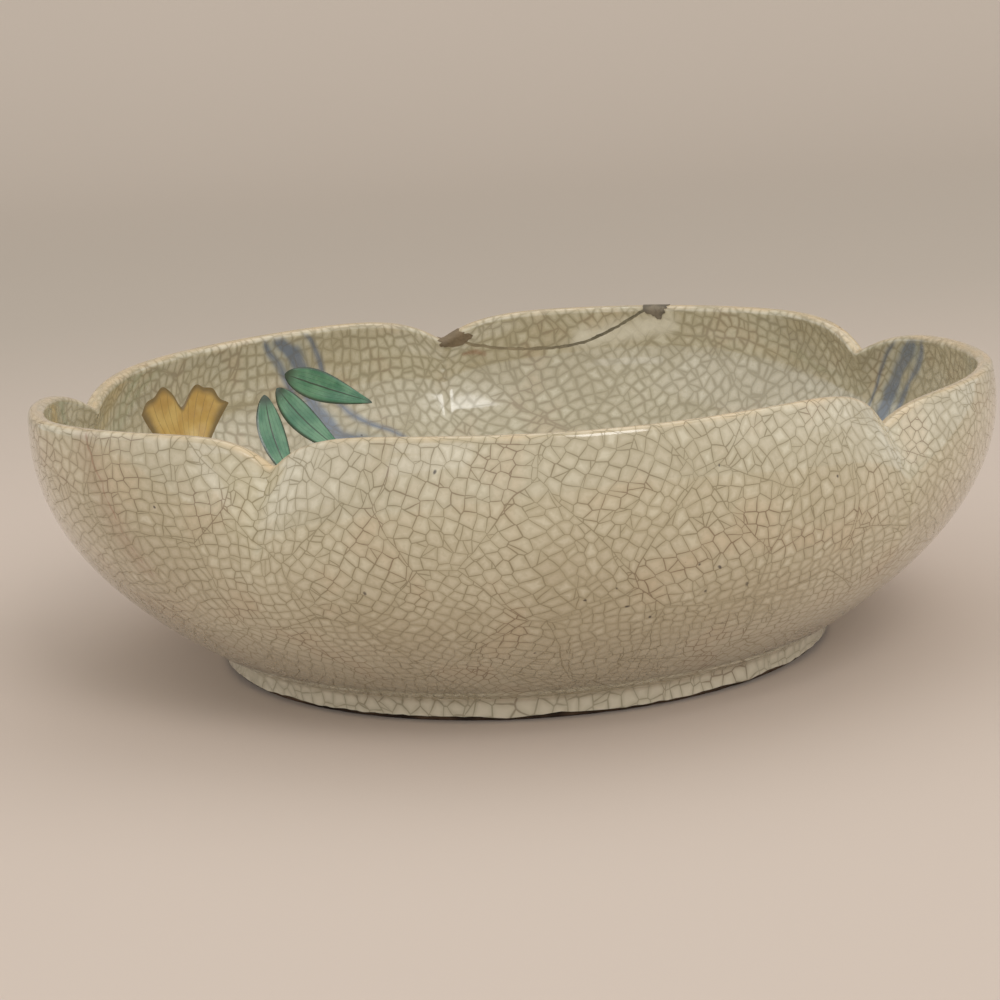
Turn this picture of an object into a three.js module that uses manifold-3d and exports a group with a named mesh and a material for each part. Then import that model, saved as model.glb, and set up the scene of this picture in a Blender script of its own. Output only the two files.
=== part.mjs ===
// A deep stoneware bowl with a rim of five uneven petals on a low foot ring: clay body, luted foot, glaze
// skins, a stuck-back piece of the rim with its adhesive and filler, and raised enamel patches inside.
// Millimetres, +Z up, origin on the bowl's axis at the height of the surface that it stands on.
// Azimuths are in degrees from -Y towards +X.
import * as THREE from 'three';
import { mergeVertices } from 'three/addons/utils/BufferGeometryUtils.js';
import Module from 'manifold-3d';

const wasm = await Module();
wasm.setup();

// Driving dimensions of the round bowl, before its rim is drawn into petals.
const footRadius = 64.5;
const footHeight = 5;
const footWidth = 6.5;
const footBevel = 0.8;
const footInset = 1.8;
const bellyRadius = 100.4;
const bellyHeight = 50;
const wallFullness = 2.1;
const rimHeight = 58;
const lipThickness = 3.4;
const lipSquareness = 0.72;
const baseThickness = 6.8;
const floorHeight = 9.8;
const floorRadius = 44;
const floorBendHeight = 9;
const creaseSize = 1.4;
const bareFoot = 0.9;
const glazeThickness = 0.5;
const clearance = 0.3;

// The petals. Each starts at a notch of the rim and swells to a crest between that notch and the next.
// A reach is a share of the belly's radius, and a rise is a share of the rim's height.
// The higher a number of flat, the further its edge stays level towards that end.
const petals = [
  {
    azimuth: -30.5, notchReach: 0.876, notchRise: 0.931,
    crestReach: 0.946, crestRise: 1.060, flat: [8.5, 8.5],
  },
  {
    azimuth: 49.5, notchReach: 0.896, notchRise: 0.895,
    crestReach: 0.981, crestRise: 0.974, flat: [9, 5],
  },
  {
    azimuth: 119.5, notchReach: 0.921, notchRise: 0.862,
    crestReach: 0.971, crestRise: 0.991, flat: [6, 7],
  },
  {
    azimuth: 190, notchReach: 0.931, notchRise: 0.888,
    crestReach: 0.906, crestRise: 1.009, flat: [7, 4.5],
  },
  {
    azimuth: 267, notchReach: 0.901, notchRise: 0.931,
    crestReach: 1.021, crestRise: 1.052, flat: [4.5, 9],
  },
];
const petalBulge = 1.5;
const foldSoftness = 0.12;
const foldReach = 10;
const petalFoot = 20;
const petalFade = 1.5;

// Steps of the mesh along each stretch of the profile, and round each petal.
const creaseSteps = 3;
const wallSteps = 9;
const lipSteps = 8;
const insideSteps = 7;
const bendSteps = 4;
const petalSteps = 11;

// The broken piece of the rim: its break line, across and up, as seen along the azimuth that it faces.
// Across is in shares of the belly's radius, and up is in shares of the rim's height.
const shardAzimuth = 174;
const breakLine = [
  [-0.289, 1.026], [-0.199, 0.922], [-0.08, 0.833], [0.06, 0.821], [0.179, 0.855], [0.279, 0.931],
];
const breakSteps = 18;
const adhesiveThickness = 0.4;
const crestFill = { azimuth: 157.3, drop: 0, width: 7.4, height: 6.2 };
const notchFill = { azimuth: 188.3, drop: 1.6, width: 8, height: 4.4 };

// The enamel patches inside. Each starts at a way down from the rim's edge, measured along the wall
// in shares of the rim's height. A heading is turned from the rising azimuth towards the floor.
const enamelThickness = 0.35;
const enamelSeat = 0.5;
const leafLength = 25;
const leafWidth = 7.6;
const leafStalk = 7;
const fanLength = 24;
const fanSpread = 86;
const fanStalk = 1.5;
const fanCleftDepth = 0.25;
const fanCleftSharpness = 9;
const sprays = [
  { azimuth: 220, down: 0.12, headings: [88, 122, 156] },
  { azimuth: 64, down: 0.24, headings: [52, 88] },
];
const fans = [
  { azimuth: 238, down: 0.52, heading: -96 },
  { azimuth: 22, down: 0.62, heading: -70 },
];

// Finishes, as seen on the real bowl.
const clay = { color: 0x8f7a60, roughness: 0.9, metalness: 0 };
const footClay = { color: 0x4a392c, roughness: 0.95, metalness: 0 };
const glaze = { color: 0xb9ab8e, roughness: 0.35, metalness: 0 };
const adhesive = { color: 0x6b6152, roughness: 0.7, metalness: 0 };
const filler = { color: 0x46413b, roughness: 0.8, metalness: 0 };
const greenEnamel = { color: 0x2f7a57, roughness: 0.3, metalness: 0 };
const yellowEnamel = { color: 0xc79c3c, roughness: 0.35, metalness: 0 };

const bowl = new THREE.Group();

function addPiece(name, geometry, finish) {
  const piece = new THREE.Mesh(geometry, new THREE.MeshStandardMaterial(finish));
  piece.name = name;
  bowl.add(piece);
}

// Outside of the round wall at a height, moved into the wall by a depth.
function wallPoint(height, depth) {
  const drop = (bellyHeight - height) / (bellyHeight - footHeight);
  const reach = bellyRadius - footRadius - footInset;
  const radius = bellyRadius - reach * Math.abs(drop) ** wallFullness;
  const steepness = wallFullness * Math.abs(drop) ** (wallFullness - 1) * Math.sign(drop);
  const lean = new THREE.Vector2(-1, steepness * reach / (bellyHeight - footHeight)).normalize();
  return new THREE.Vector2(radius, height).addScaledVector(lean, depth);
}

const lipBottom = rimHeight - lipThickness / 2;

function wallThickness(height) {
  return THREE.MathUtils.mapLinear(height, footHeight, lipBottom, baseThickness, lipThickness);
}

function insidePoint(height) {
  return wallPoint(height, wallThickness(height));
}

// Points of the outside of the glaze, up from the foot's edge to the lip.
function outsideLine() {
  const start = new THREE.Vector2(footRadius, footHeight - creaseSize);
  const corner = new THREE.Vector2(footRadius, footHeight);
  const wallStart = footHeight + creaseSize;
  const crease = new THREE.QuadraticBezierCurve(start, corner, wallPoint(wallStart, 0));
  const points = [new THREE.Vector2(footRadius, bareFoot), ...crease.getPoints(creaseSteps)];
  for (let i = 1; i <= wallSteps; i += 1) {
    points.push(wallPoint(THREE.MathUtils.lerp(wallStart, lipBottom, i / wallSteps), 0));
  }
  return points;
}

// The lip, from the outside of the wall over its top. Under a squareness of 1 its rounding is flattened.
function lipLine() {
  const middle = wallPoint(lipBottom, lipThickness / 2);
  const outward = wallPoint(lipBottom, 0).sub(middle);
  const upward = outward.clone().rotateAround(new THREE.Vector2(), Math.PI / 2);
  const points = [];
  for (let i = 1; i < lipSteps; i += 1) {
    const turn = Math.PI * i / lipSteps;
    const across = Math.sign(Math.cos(turn)) * Math.abs(Math.cos(turn)) ** lipSquareness;
    const up = Math.sin(turn) ** lipSquareness;
    points.push(middle.clone().addScaledVector(outward, across).addScaledVector(upward, up));
  }
  return points;
}

// Points of the inside of the glaze, down from the lip to the middle of the floor.
function insideLine() {
  const points = [];
  for (let i = 0; i < insideSteps; i += 1) {
    points.push(insidePoint(THREE.MathUtils.lerp(lipBottom, floorBendHeight, i / insideSteps)));
  }
  const bendStart = insidePoint(floorBendHeight);
  const above = insidePoint(floorBendHeight + 1);
  const slope = (above.x - bendStart.x) / (above.y - bendStart.y);
  const corner = new THREE.Vector2(bendStart.x - (bendStart.y - floorHeight) * slope, floorHeight);
  const floorEdge = new THREE.Vector2(floorRadius, floorHeight);
  const bend = new THREE.QuadraticBezierCurve(bendStart, corner, floorEdge);
  return [...points, ...bend.getPoints(bendSteps), new THREE.Vector2(0, floorHeight)];
}

// A line of points moved to its left by a distance, with its corners mitred.
function offsetLine(points, distance) {
  const ways = points.slice(1).map((point, i) => point.clone().sub(points[i]).normalize());
  return points.map((point, i) => {
    const before = ways[Math.max(i - 1, 0)];
    const after = ways[Math.min(i, ways.length - 1)];
    const along = before.clone().add(after).normalize();
    const left = new THREE.Vector2(-along.y, along.x);
    return point.clone().addScaledVector(left, distance / along.dot(before));
  });
}

// Radius and height of the rim's edge at an azimuth. Its notches are sharp at the lip, where below is 0.
// The fold that runs down the wall from each of them is softest where below is 1.
function rimAt(azimuth, below) {
  const first = petals[0].azimuth;
  const turned = THREE.MathUtils.euclideanModulo(azimuth - first, 360) + first;
  const index = petals.findLastIndex((petal) => petal.azimuth <= turned);
  const petal = petals[index];
  const next = petals[(index + 1) % petals.length];
  const span = THREE.MathUtils.euclideanModulo(next.azimuth - petal.azimuth, 360);
  const t = (turned - petal.azimuth) / span;
  const fromNotch = 1 - Math.abs(2 * t - 1);
  const fromFold = Math.min(Math.hypot(fromNotch, foldSoftness * below), 1);
  const bulge = 1 - (1 - fromFold) ** petalBulge;
  const rise = 1 - (1 - fromNotch) ** petal.flat[t < 0.5 ? 0 : 1];
  const notchReach = THREE.MathUtils.lerp(petal.notchReach, next.notchReach, t);
  const notchRise = THREE.MathUtils.lerp(petal.notchRise, next.notchRise, t);
  return {
    radius: bellyRadius * THREE.MathUtils.lerp(notchReach, petal.crestReach, bulge),
    height: rimHeight * THREE.MathUtils.lerp(notchRise, petal.crestRise, rise),
  };
}

const roundRimRadius = wallPoint(lipBottom, lipThickness / 2).x;

// A point of the round bowl carried to its place on the petalled one.
function petalled(radius, height, azimuth) {
  const climb = THREE.MathUtils.clamp((height - petalFoot) / (lipBottom - petalFoot), 0, 1);
  const share = climb ** petalFade;
  const rim = rimAt(azimuth, THREE.MathUtils.clamp((lipBottom - height) / foldReach, 0, 1));
  const r = radius + share * (rim.radius - roundRimRadius);
  const z = height + share * (rim.height - rimHeight);
  const turn = THREE.MathUtils.degToRad(azimuth);
  return new THREE.Vector3(r * Math.sin(turn), -r * Math.cos(turn), z);
}

// Azimuths of the mesh's columns: one on each notch, and closer together towards the notches.
function columnAzimuths() {
  const azimuths = [];
  petals.forEach((petal, index) => {
    const next = petals[(index + 1) % petals.length];
    const span = THREE.MathUtils.euclideanModulo(next.azimuth - petal.azimuth, 360);
    for (let i = 0; i < petalSteps; i += 1) {
      const even = i / petalSteps;
      const gathered = (1 - Math.cos(Math.PI * even)) / 2;
      azimuths.push(petal.azimuth + span * (even + gathered) / 2);
    }
  });
  return [...azimuths, petals[0].azimuth + 360];
}

// A solid turned from a profile and drawn into petals.
function turnedShape(profile) {
  const azimuths = columnAzimuths();
  const geometry = new THREE.LatheGeometry(profile, azimuths.length - 1);
  const position = geometry.attributes.position;
  for (let i = 0; i < position.count; i += 1) {
    const column = Math.floor(i / profile.length) % (azimuths.length - 1);
    const point = profile[i % profile.length];
    const place = petalled(point.x, point.y, azimuths[column]);
    position.setXYZ(i, place.x, place.y, place.z);
  }
  return geometry;
}

// Boolean joins and cuts.
function toSolid(geometry) {
  const bare = geometry.clone();
  bare.deleteAttribute('normal');
  bare.deleteAttribute('uv');
  const merged = mergeVertices(bare);
  const corners = merged.index.array;
  const kept = [];
  for (let i = 0; i < corners.length; i += 3) {
    const [a, b, c] = corners.slice(i, i + 3);
    if (a !== b && b !== c && c !== a) {
      kept.push(a, b, c);
    }
  }
  const vertProperties = new Float32Array(merged.attributes.position.array);
  const triVerts = new Uint32Array(kept);
  return new wasm.Manifold(new wasm.Mesh({ numProp: 3, vertProperties, triVerts }));
}

function toGeometry(solid) {
  const mesh = solid.getMesh();
  const geometry = new THREE.BufferGeometry();
  geometry.setAttribute('position', new THREE.BufferAttribute(mesh.vertProperties, 3));
  geometry.setIndex(new THREE.BufferAttribute(mesh.triVerts, 1));
  return geometry;
}

// The bowl's profiles. The skin line is the glaze's visible side; the others lie behind it.
const skinLine = [...outsideLine(), ...lipLine(), ...insideLine()];
const glazeBack = offsetLine(skinLine, glazeThickness);
const clayLine = offsetLine(skinLine, glazeThickness + clearance);

// The clay's line parted at the plane where the foot ring is luted on.
function clayAboveFoot() {
  const index = clayLine.findIndex((point) => point.y > footHeight);
  const low = clayLine[index - 1];
  const high = clayLine[index];
  const joint = low.clone().lerp(high, (footHeight - low.y) / (high.y - low.y));
  return { below: [...clayLine.slice(0, index), joint], above: [joint, ...clayLine.slice(index)] };
}

const clayParts = clayAboveFoot();
const footInner = footRadius - glazeThickness - clearance - footWidth;

function bodyShape() {
  return turnedShape([new THREE.Vector2(0, footHeight), ...clayParts.above]);
}

function footRingShape() {
  const outer = clayParts.below[0].x;
  const bottom = [
    new THREE.Vector2(footInner, footBevel),
    new THREE.Vector2(footInner + footBevel, 0),
    new THREE.Vector2(outer - footBevel, 0),
  ];
  const inner = new THREE.Vector2(footInner, footHeight);
  return turnedShape([inner, ...bottom, ...clayParts.below, inner.clone()]);
}

// Everything within the glaze's visible side, and everything within its back.
function wholeShape() {
  return turnedShape([new THREE.Vector2(0, bareFoot), ...skinLine]);
}

function coreShape() {
  return turnedShape([new THREE.Vector2(0, 0), new THREE.Vector2(glazeBack[0].x, 0), ...glazeBack]);
}

function wellGlazeShape() {
  const top = footHeight - clearance;
  const outer = footInner - clearance;
  const inner = outer - glazeThickness;
  const under = top - glazeThickness;
  return turnedShape([
    new THREE.Vector2(0, under),
    new THREE.Vector2(inner, under),
    new THREE.Vector2(inner, bareFoot),
    new THREE.Vector2(outer, bareFoot),
    new THREE.Vector2(outer, top),
    new THREE.Vector2(0, top),
  ]);
}

// A block between two break lines, or above one, that reaches through the wall at the broken piece.
function breakBlock(lowLine, highLine) {
  const outline = new THREE.Shape([...lowLine, ...highLine.toReversed()]);
  const depth = 2 * bellyRadius;
  const geometry = new THREE.ExtrudeGeometry(outline, { depth, bevelEnabled: false });
  geometry.rotateX(Math.PI / 2);
  geometry.rotateZ(THREE.MathUtils.degToRad(shardAzimuth));
  return toSolid(geometry);
}

const breakScale = new THREE.Vector2(bellyRadius, rimHeight);
const breakPlaces = breakLine.map(([across, up]) => new THREE.Vector2(across, up).multiply(breakScale));
const breakCurve = new THREE.SplineCurve(breakPlaces);
const breakMiddle = breakCurve.getSpacedPoints(breakSteps);
const breakEnds = [breakMiddle[0], breakMiddle.at(-1)];
const breakTop = breakEnds.map((point) => new THREE.Vector2(point.x, 2 * rimHeight));

function breakAt(distance) {
  return offsetLine(breakMiddle, distance);
}

// A flattened ball at the rim, its middle a drop below the rim's edge.
function fillBall(fill, margin) {
  const rim = rimAt(fill.azimuth, 0);
  const geometry = new THREE.SphereGeometry(1, 16, 10);
  geometry.scale(fill.width / 2 + margin, lipThickness + margin, fill.height / 2 + margin);
  geometry.translate(0, -rim.radius, rim.height - fill.drop);
  geometry.rotateZ(THREE.MathUtils.degToRad(fill.azimuth));
  return toSolid(geometry);
}

function addClayAndGlaze() {
  const seamHalf = adhesiveThickness / 2 + clearance;
  const aboveSeam = breakBlock(breakAt(seamHalf), breakTop);
  const aboveBreak = breakBlock(breakAt(-seamHalf), breakTop);
  const seamBand = breakBlock(breakAt(-adhesiveThickness / 2), breakAt(adhesiveThickness / 2));
  const fills = [crestFill, notchFill];
  const room = fills.map((fill) => fillBall(fill, clearance)).reduce((sum, ball) => sum.add(ball));
  const whole = toSolid(wholeShape());
  const body = toSolid(bodyShape());
  const skin = whole.subtract(toSolid(coreShape()));
  addPiece('thrown_body', toGeometry(body.subtract(aboveBreak).subtract(room)), clay);
  addPiece('foot_ring', footRingShape(), footClay);
  addPiece('glaze_coat', toGeometry(skin.subtract(aboveBreak).subtract(room)), glaze);
  addPiece('foot_well_glaze', wellGlazeShape(), glaze);
  addPiece('rim_shard', toGeometry(body.intersect(aboveSeam).subtract(room)), clay);
  addPiece('rim_shard_glaze', toGeometry(skin.intersect(aboveSeam).subtract(room)), glaze);
  addPiece('repair_seam', toGeometry(whole.intersect(seamBand).subtract(room)), adhesive);
  addPiece('repair_fill_crest', toGeometry(whole.intersect(fillBall(crestFill, 0))), filler);
  addPiece('repair_fill_notch', toGeometry(whole.intersect(fillBall(notchFill, 0))), filler);
}

// The inside of the round bowl, by depth below the rim's edge, and lifted off the glaze.
const insideRun = [wallPoint(lipBottom, lipThickness), ...insideLine().slice(1)];

function insideAt(depth, lift) {
  const lifted = offsetLine(insideRun, -lift);
  const stretches = insideRun.slice(1).map((point, i) => point.distanceTo(insideRun[i]));
  let left = depth - lipThickness / 2;
  let index = 0;
  while (index < stretches.length - 1 && left > stretches[index]) {
    left -= stretches[index];
    index += 1;
  }
  return lifted[index].clone().lerp(lifted[index + 1], left / stretches[index]);
}

// A slab bent on to the inside of the bowl. The outline gives a place, across and along, for each share.
function enamelPatch(patch, outline, columns, rows) {
  const geometry = new THREE.BoxGeometry(1, 1, 1, columns, rows, 1);
  const position = geometry.attributes.position;
  const turn = THREE.MathUtils.degToRad(patch.heading);
  for (let i = 0; i < position.count; i += 1) {
    const place = outline(position.getX(i) + 0.5, position.getY(i));
    const flat = place.rotateAround(new THREE.Vector2(), turn);
    const lift = enamelSeat + enamelThickness * (position.getZ(i) + 0.5);
    const point = insideAt(patch.down * rimHeight + flat.y, lift);
    const azimuth = patch.azimuth + THREE.MathUtils.radToDeg(flat.x / point.x);
    const bent = petalled(point.x, point.y, azimuth);
    position.setXYZ(i, bent.x, bent.y, bent.z);
  }
  return geometry;
}

// A slender leaf, widest a third of the way from its stalk.
function leafOutline(along, across) {
  const width = leafWidth * Math.sin(Math.PI * along ** 0.75) + clearance;
  return new THREE.Vector2(leafStalk + along * leafLength, across * width);
}

// A fan-shaped leaf with a shallow cleft in its outer edge.
function fanOutline(along, across) {
  const turn = THREE.MathUtils.degToRad(fanSpread * across);
  const cleft = 1 - fanCleftDepth * Math.exp(-((across * fanCleftSharpness) ** 2));
  const reach = THREE.MathUtils.lerp(fanStalk, fanLength * cleft, along);
  return new THREE.Vector2(reach, 0).rotateAround(new THREE.Vector2(), turn);
}

function addEnamels() {
  fans.forEach((fan, i) => {
    addPiece(`ginkgo_enamel_${i + 1}`, enamelPatch(fan, fanOutline, 3, 8), yellowEnamel);
  });
  const leaves = sprays.flatMap((spray) => spray.headings.map((heading) => ({ ...spray, heading })));
  leaves.forEach((leaf, i) => {
    addPiece(`bamboo_enamel_${i + 1}`, enamelPatch(leaf, leafOutline, 8, 2), greenEnamel);
  });
}

addClayAndGlaze();
addEnamels();

export default bowl;
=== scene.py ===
"""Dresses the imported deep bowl.

The packed clay pieces stay and get clay finishes. Finer pieces stand for the glaze skins, the foot, the
mended break and the enamel patches. Sizes are in millimetres until a piece is finished, and then in metres.
"""
import functools
import logging
import math
from collections.abc import Callable, Sequence
from dataclasses import dataclass, field
from enum import Enum
from typing import Any

import bmesh
import bpy
from mathutils import Matrix, Vector, noise


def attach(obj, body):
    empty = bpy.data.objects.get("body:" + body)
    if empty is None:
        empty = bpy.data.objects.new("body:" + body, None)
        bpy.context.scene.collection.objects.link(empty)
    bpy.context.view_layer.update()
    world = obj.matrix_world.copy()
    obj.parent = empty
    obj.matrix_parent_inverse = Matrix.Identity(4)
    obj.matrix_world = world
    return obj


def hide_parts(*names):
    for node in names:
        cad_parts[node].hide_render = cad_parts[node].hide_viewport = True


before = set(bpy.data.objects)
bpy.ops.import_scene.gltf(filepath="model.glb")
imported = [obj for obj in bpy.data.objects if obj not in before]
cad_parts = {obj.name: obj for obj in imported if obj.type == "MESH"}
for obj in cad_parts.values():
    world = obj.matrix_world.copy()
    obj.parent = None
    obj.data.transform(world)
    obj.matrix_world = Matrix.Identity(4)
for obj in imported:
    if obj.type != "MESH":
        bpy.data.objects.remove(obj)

LOG = logging.getLogger("deep_bowl")
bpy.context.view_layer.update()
BODY = "root"
MM = 0.001
SHARP_ANGLE = math.radians(38)
MERGE_DISTANCE = 0.0005
AXIS_RADIUS = 0.01
Colour = tuple[float, float, float, float]
Pair = tuple[float, float]


def colour(red: float, green: float, blue: float) -> Colour:
    """Turns a colour from the 0 to 255 that a screen shows into light.

    Args:
        red: Red, 0 to 255.
        green: Green, 0 to 255.
        blue: Blue, 0 to 255.

    Returns:
        The linear colour, with an alpha of 1.
    """
    shares = [value / 255 for value in (red, green, blue)]
    linear = [s / 12.92 if s <= 0.04045 else ((s + 0.055) / 1.055) ** 2.4 for s in shares]
    return (linear[0], linear[1], linear[2], 1.0)


def lerp(start: float, end: float, share: float) -> float:
    """Returns the number that lies a share of the way from start to end."""
    return start + (end - start) * share


def around(azimuth: float, radius: float) -> Pair:
    """Returns the place, across and along, that lies at an azimuth and a radius."""
    turn = math.radians(azimuth)
    return radius * math.sin(turn), -radius * math.cos(turn)


# Form of the bowl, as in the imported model.


@dataclass(frozen=True)
class Petal:
    """One petal of the rim, from its notch to the next. Reaches are shares of the belly's radius."""

    azimuth: float
    notch_reach: float
    notch_rise: float
    crest_reach: float
    crest_rise: float
    flat_start: float
    flat_end: float


@dataclass(frozen=True)
class BowlForm:
    """The bowl's profile and rim. Azimuths are in degrees from -Y towards +X."""

    foot_radius: float = 64.5
    foot_height: float = 5.0
    foot_width: float = 6.5
    foot_bevel: float = 0.8
    foot_inset: float = 1.8
    belly_radius: float = 100.4
    belly_height: float = 50.0
    wall_fullness: float = 2.1
    rim_height: float = 58.0
    lip_thickness: float = 3.4
    lip_squareness: float = 0.72
    base_thickness: float = 6.8
    floor_height: float = 9.8
    floor_radius: float = 44.0
    floor_bend_height: float = 9.0
    crease_size: float = 1.4
    bare_foot: float = 0.9
    glaze_thickness: float = 0.5
    clearance: float = 0.3
    petal_bulge: float = 1.5
    petal_foot: float = 20.0
    petal_fade: float = 1.5
    notch_softness: float = 0.012
    fold_softness: float = 0.12
    fold_reach: float = 10.0
    petals: tuple[Petal, ...] = (
        Petal(-30.5, 0.876, 0.931, 0.946, 1.06, 8.5, 8.5),
        Petal(49.5, 0.896, 0.895, 0.981, 0.974, 9, 5),
        Petal(119.5, 0.921, 0.862, 0.971, 0.991, 6, 7),
        Petal(190, 0.931, 0.888, 0.906, 1.009, 7, 4.5),
        Petal(267, 0.901, 0.931, 1.021, 1.052, 4.5, 9),
    )
    crease_steps: int = 8
    wall_steps: int = 42
    lip_steps: int = 16
    inside_steps: int = 40
    bend_steps: int = 10
    floor_steps: int = 6

    @property
    def lip_bottom(self) -> float:
        """Height at which the lip starts."""
        return self.rim_height - self.lip_thickness / 2

    def wall_point(self, height: float, depth: float = 0.0) -> Vector:
        """Finds a point of the round wall.

        Args:
            height: Height of the point on the outside of the wall.
            depth: How far the point is moved into the wall.

        Returns:
            The point's radius and height.
        """
        drop = (self.belly_height - height) / (self.belly_height - self.foot_height)
        reach = self.belly_radius - self.foot_radius - self.foot_inset
        radius = self.belly_radius - reach * abs(drop) ** self.wall_fullness
        steepness = self.wall_fullness * abs(drop) ** (self.wall_fullness - 1) * math.copysign(1, drop)
        lean = Vector((-1, steepness * reach / (self.belly_height - self.foot_height))).normalized()
        return Vector((radius, height)) + lean * depth

    def inside_point(self, height: float) -> Vector:
        """Returns the point inside the bowl that lies behind a height of the outside."""
        share = (height - self.foot_height) / (self.lip_bottom - self.foot_height)
        return self.wall_point(height, lerp(self.base_thickness, self.lip_thickness, share))

    def outside_line(self) -> list[Vector]:
        """Returns the points of the outside, up from the foot's edge to the lip."""
        start = Vector((self.foot_radius, self.foot_height - self.crease_size))
        corner = Vector((self.foot_radius, self.foot_height))
        wall_start = self.foot_height + self.crease_size
        steps = range(1, self.wall_steps + 1)
        heights = [lerp(wall_start, self.lip_bottom, i / self.wall_steps) for i in steps]
        foot = [Vector((self.foot_radius, self.bare_foot)), Vector((self.foot_radius, self.foot_height / 2))]
        crease = bent(start, corner, self.wall_point(wall_start), self.crease_steps)
        return foot + crease + [self.wall_point(height) for height in heights]

    def lip_line(self) -> list[Vector]:
        """Returns the points of the flattened round lip, from the outside over its top."""
        middle = self.wall_point(self.lip_bottom, self.lip_thickness / 2)
        outward = self.wall_point(self.lip_bottom) - middle
        upward = Vector((-outward.y, outward.x))
        points = []
        for i in range(1, self.lip_steps):
            turn = math.pi * i / self.lip_steps
            across = math.copysign(abs(math.cos(turn)) ** self.lip_squareness, math.cos(turn))
            points.append(middle + outward * across + upward * math.sin(turn) ** self.lip_squareness)
        return points

    def inside_line(self) -> list[Vector]:
        """Returns the points of the inside, down from the lip to the middle of the floor."""
        steps = range(self.inside_steps)
        heights = [lerp(self.lip_bottom, self.floor_bend_height, i / self.inside_steps) for i in steps]
        start = self.inside_point(self.floor_bend_height)
        above = self.inside_point(self.floor_bend_height + 1)
        slope = (above.x - start.x) / (above.y - start.y)
        corner = Vector((start.x - (start.y - self.floor_height) * slope, self.floor_height))
        bend = bent(start, corner, Vector((self.floor_radius, self.floor_height)), self.bend_steps)
        rings = [self.floor_radius * (1 - i / self.floor_steps) for i in range(1, self.floor_steps + 1)]
        floor = [Vector((radius, self.floor_height)) for radius in rings]
        return [self.inside_point(height) for height in heights] + bend + floor

    def rim_at(self, azimuth: float, below: float = 0.0) -> Pair:
        """Finds the rim's edge at an azimuth.

        Args:
            azimuth: The azimuth.
            below: 0 at the lip, up to 1 further down, where the fold under a notch is soft.

        Returns:
            The edge's radius and height.
        """
        first = self.petals[0].azimuth
        turned = (azimuth - first) % 360 + first
        index = max(i for i, petal in enumerate(self.petals) if petal.azimuth <= turned)
        petal = self.petals[index]
        after = self.petals[(index + 1) % len(self.petals)]
        share = (turned - petal.azimuth) / ((after.azimuth - petal.azimuth) % 360)
        from_notch = 1 - abs(2 * share - 1)
        softness = lerp(self.notch_softness, self.fold_softness, below)
        from_middle = max(1 - math.hypot(from_notch, self.notch_softness), 0)
        bulge = 1 - max(1 - math.hypot(from_notch, softness), 0) ** self.petal_bulge
        rise = 1 - from_middle ** (petal.flat_start if share < 0.5 else petal.flat_end)
        reach = lerp(lerp(petal.notch_reach, after.notch_reach, share), petal.crest_reach, bulge)
        height = lerp(lerp(petal.notch_rise, after.notch_rise, share), petal.crest_rise, rise)
        return self.belly_radius * reach, self.rim_height * height

    def petalled(self, radius: float, height: float, azimuth: float) -> Vector:
        """Carries a point of the round bowl to its place on the petalled one.

        Args:
            radius: The point's radius on the round bowl.
            height: Its height on the round bowl.
            azimuth: Its azimuth.

        Returns:
            The point in millimetres.
        """
        climb = (height - self.petal_foot) / (self.lip_bottom - self.petal_foot)
        share = min(max(climb, 0.0), 1.0) ** self.petal_fade
        below = min(max((self.lip_bottom - height) / self.fold_reach, 0.0), 1.0)
        rim_radius, rim_height = self.rim_at(azimuth, below)
        round_radius = self.wall_point(self.lip_bottom, self.lip_thickness / 2).x
        drawn = radius + share * (rim_radius - round_radius)
        rise = height + share * (rim_height - self.rim_height)
        return Vector((*around(azimuth, drawn), rise))

    def gathered(self, azimuth: float) -> float:
        """Draws evenly spaced azimuths closer together towards the notches."""
        count = len(self.petals)
        turns, rest = divmod(azimuth, 360)
        index, share = divmod(rest * count / 360, 1)
        petal = self.petals[int(index) % count]
        after = self.petals[(int(index) + 1) % count]
        span = (after.azimuth - petal.azimuth) % 360
        closer = (1 - math.cos(math.pi * share)) / 2
        return 360 * turns + petal.azimuth + span * (share + closer) / 2


def bent(start: Vector, corner: Vector, end: Vector, steps: int) -> list[Vector]:
    """Rounds a corner.

    Args:
        start: Where the bend starts.
        corner: The corner that it rounds.
        end: Where the bend ends.
        steps: The number of steps.

    Returns:
        The points, with both ends.
    """
    shares = [i / steps for i in range(steps + 1)]
    return [start.lerp(corner, share).lerp(corner.lerp(end, share), share) for share in shares]


def moved_left(points: Sequence[Vector], distance: float) -> list[Vector]:
    """Moves a line of points to its left, with its corners mitred.

    Args:
        points: The points of the line.
        distance: How far they move.

    Returns:
        The moved points.
    """
    ways = [(after - before).normalized() for before, after in zip(points, points[1:])]
    moved = []
    for i, point in enumerate(points):
        before = ways[max(i - 1, 0)]
        along = (before + ways[min(i, len(ways) - 1)]).normalized()
        moved.append(point + Vector((-along.y, along.x)) * (distance / along.dot(before)))
    return moved


# Turned shapes, their maps and their cuts.


@dataclass
class Station:
    """A point of a profile, with what its maps need.

    The run is the way from the rim's crest, measured along the skin: above 0 outside, below 0 inside.
    The spread is the radius at which a point of the inside lies on its flat map.
    """

    point: Vector
    run: float = 0.0
    spread: float = 0.0


def spread_radii(line: Sequence[Vector], even_height: float) -> list[float]:
    """Flattens a turned surface without changing its angles.

    Args:
        line: The profile's points, from the smallest radius on.
        even_height: The height at which a millimetre stays a millimetre on the flat map.

    Returns:
        The radius of each point on the flat map.
    """
    radii = [line[0].x]
    for before, after in zip(line, line[1:]):
        grown = radii[-1] * math.exp((after - before).length / max((before.x + after.x) / 2, AXIS_RADIUS))
        radii.append(grown if before.x > 0 else after.x)
    off_axis = [i for i, point in enumerate(line) if point.x > 0]
    even = min(off_axis, key=lambda i: abs(line[i].y - even_height))
    scale = line[even].x / radii[even]
    return [radius * scale for radius in radii]


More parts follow.
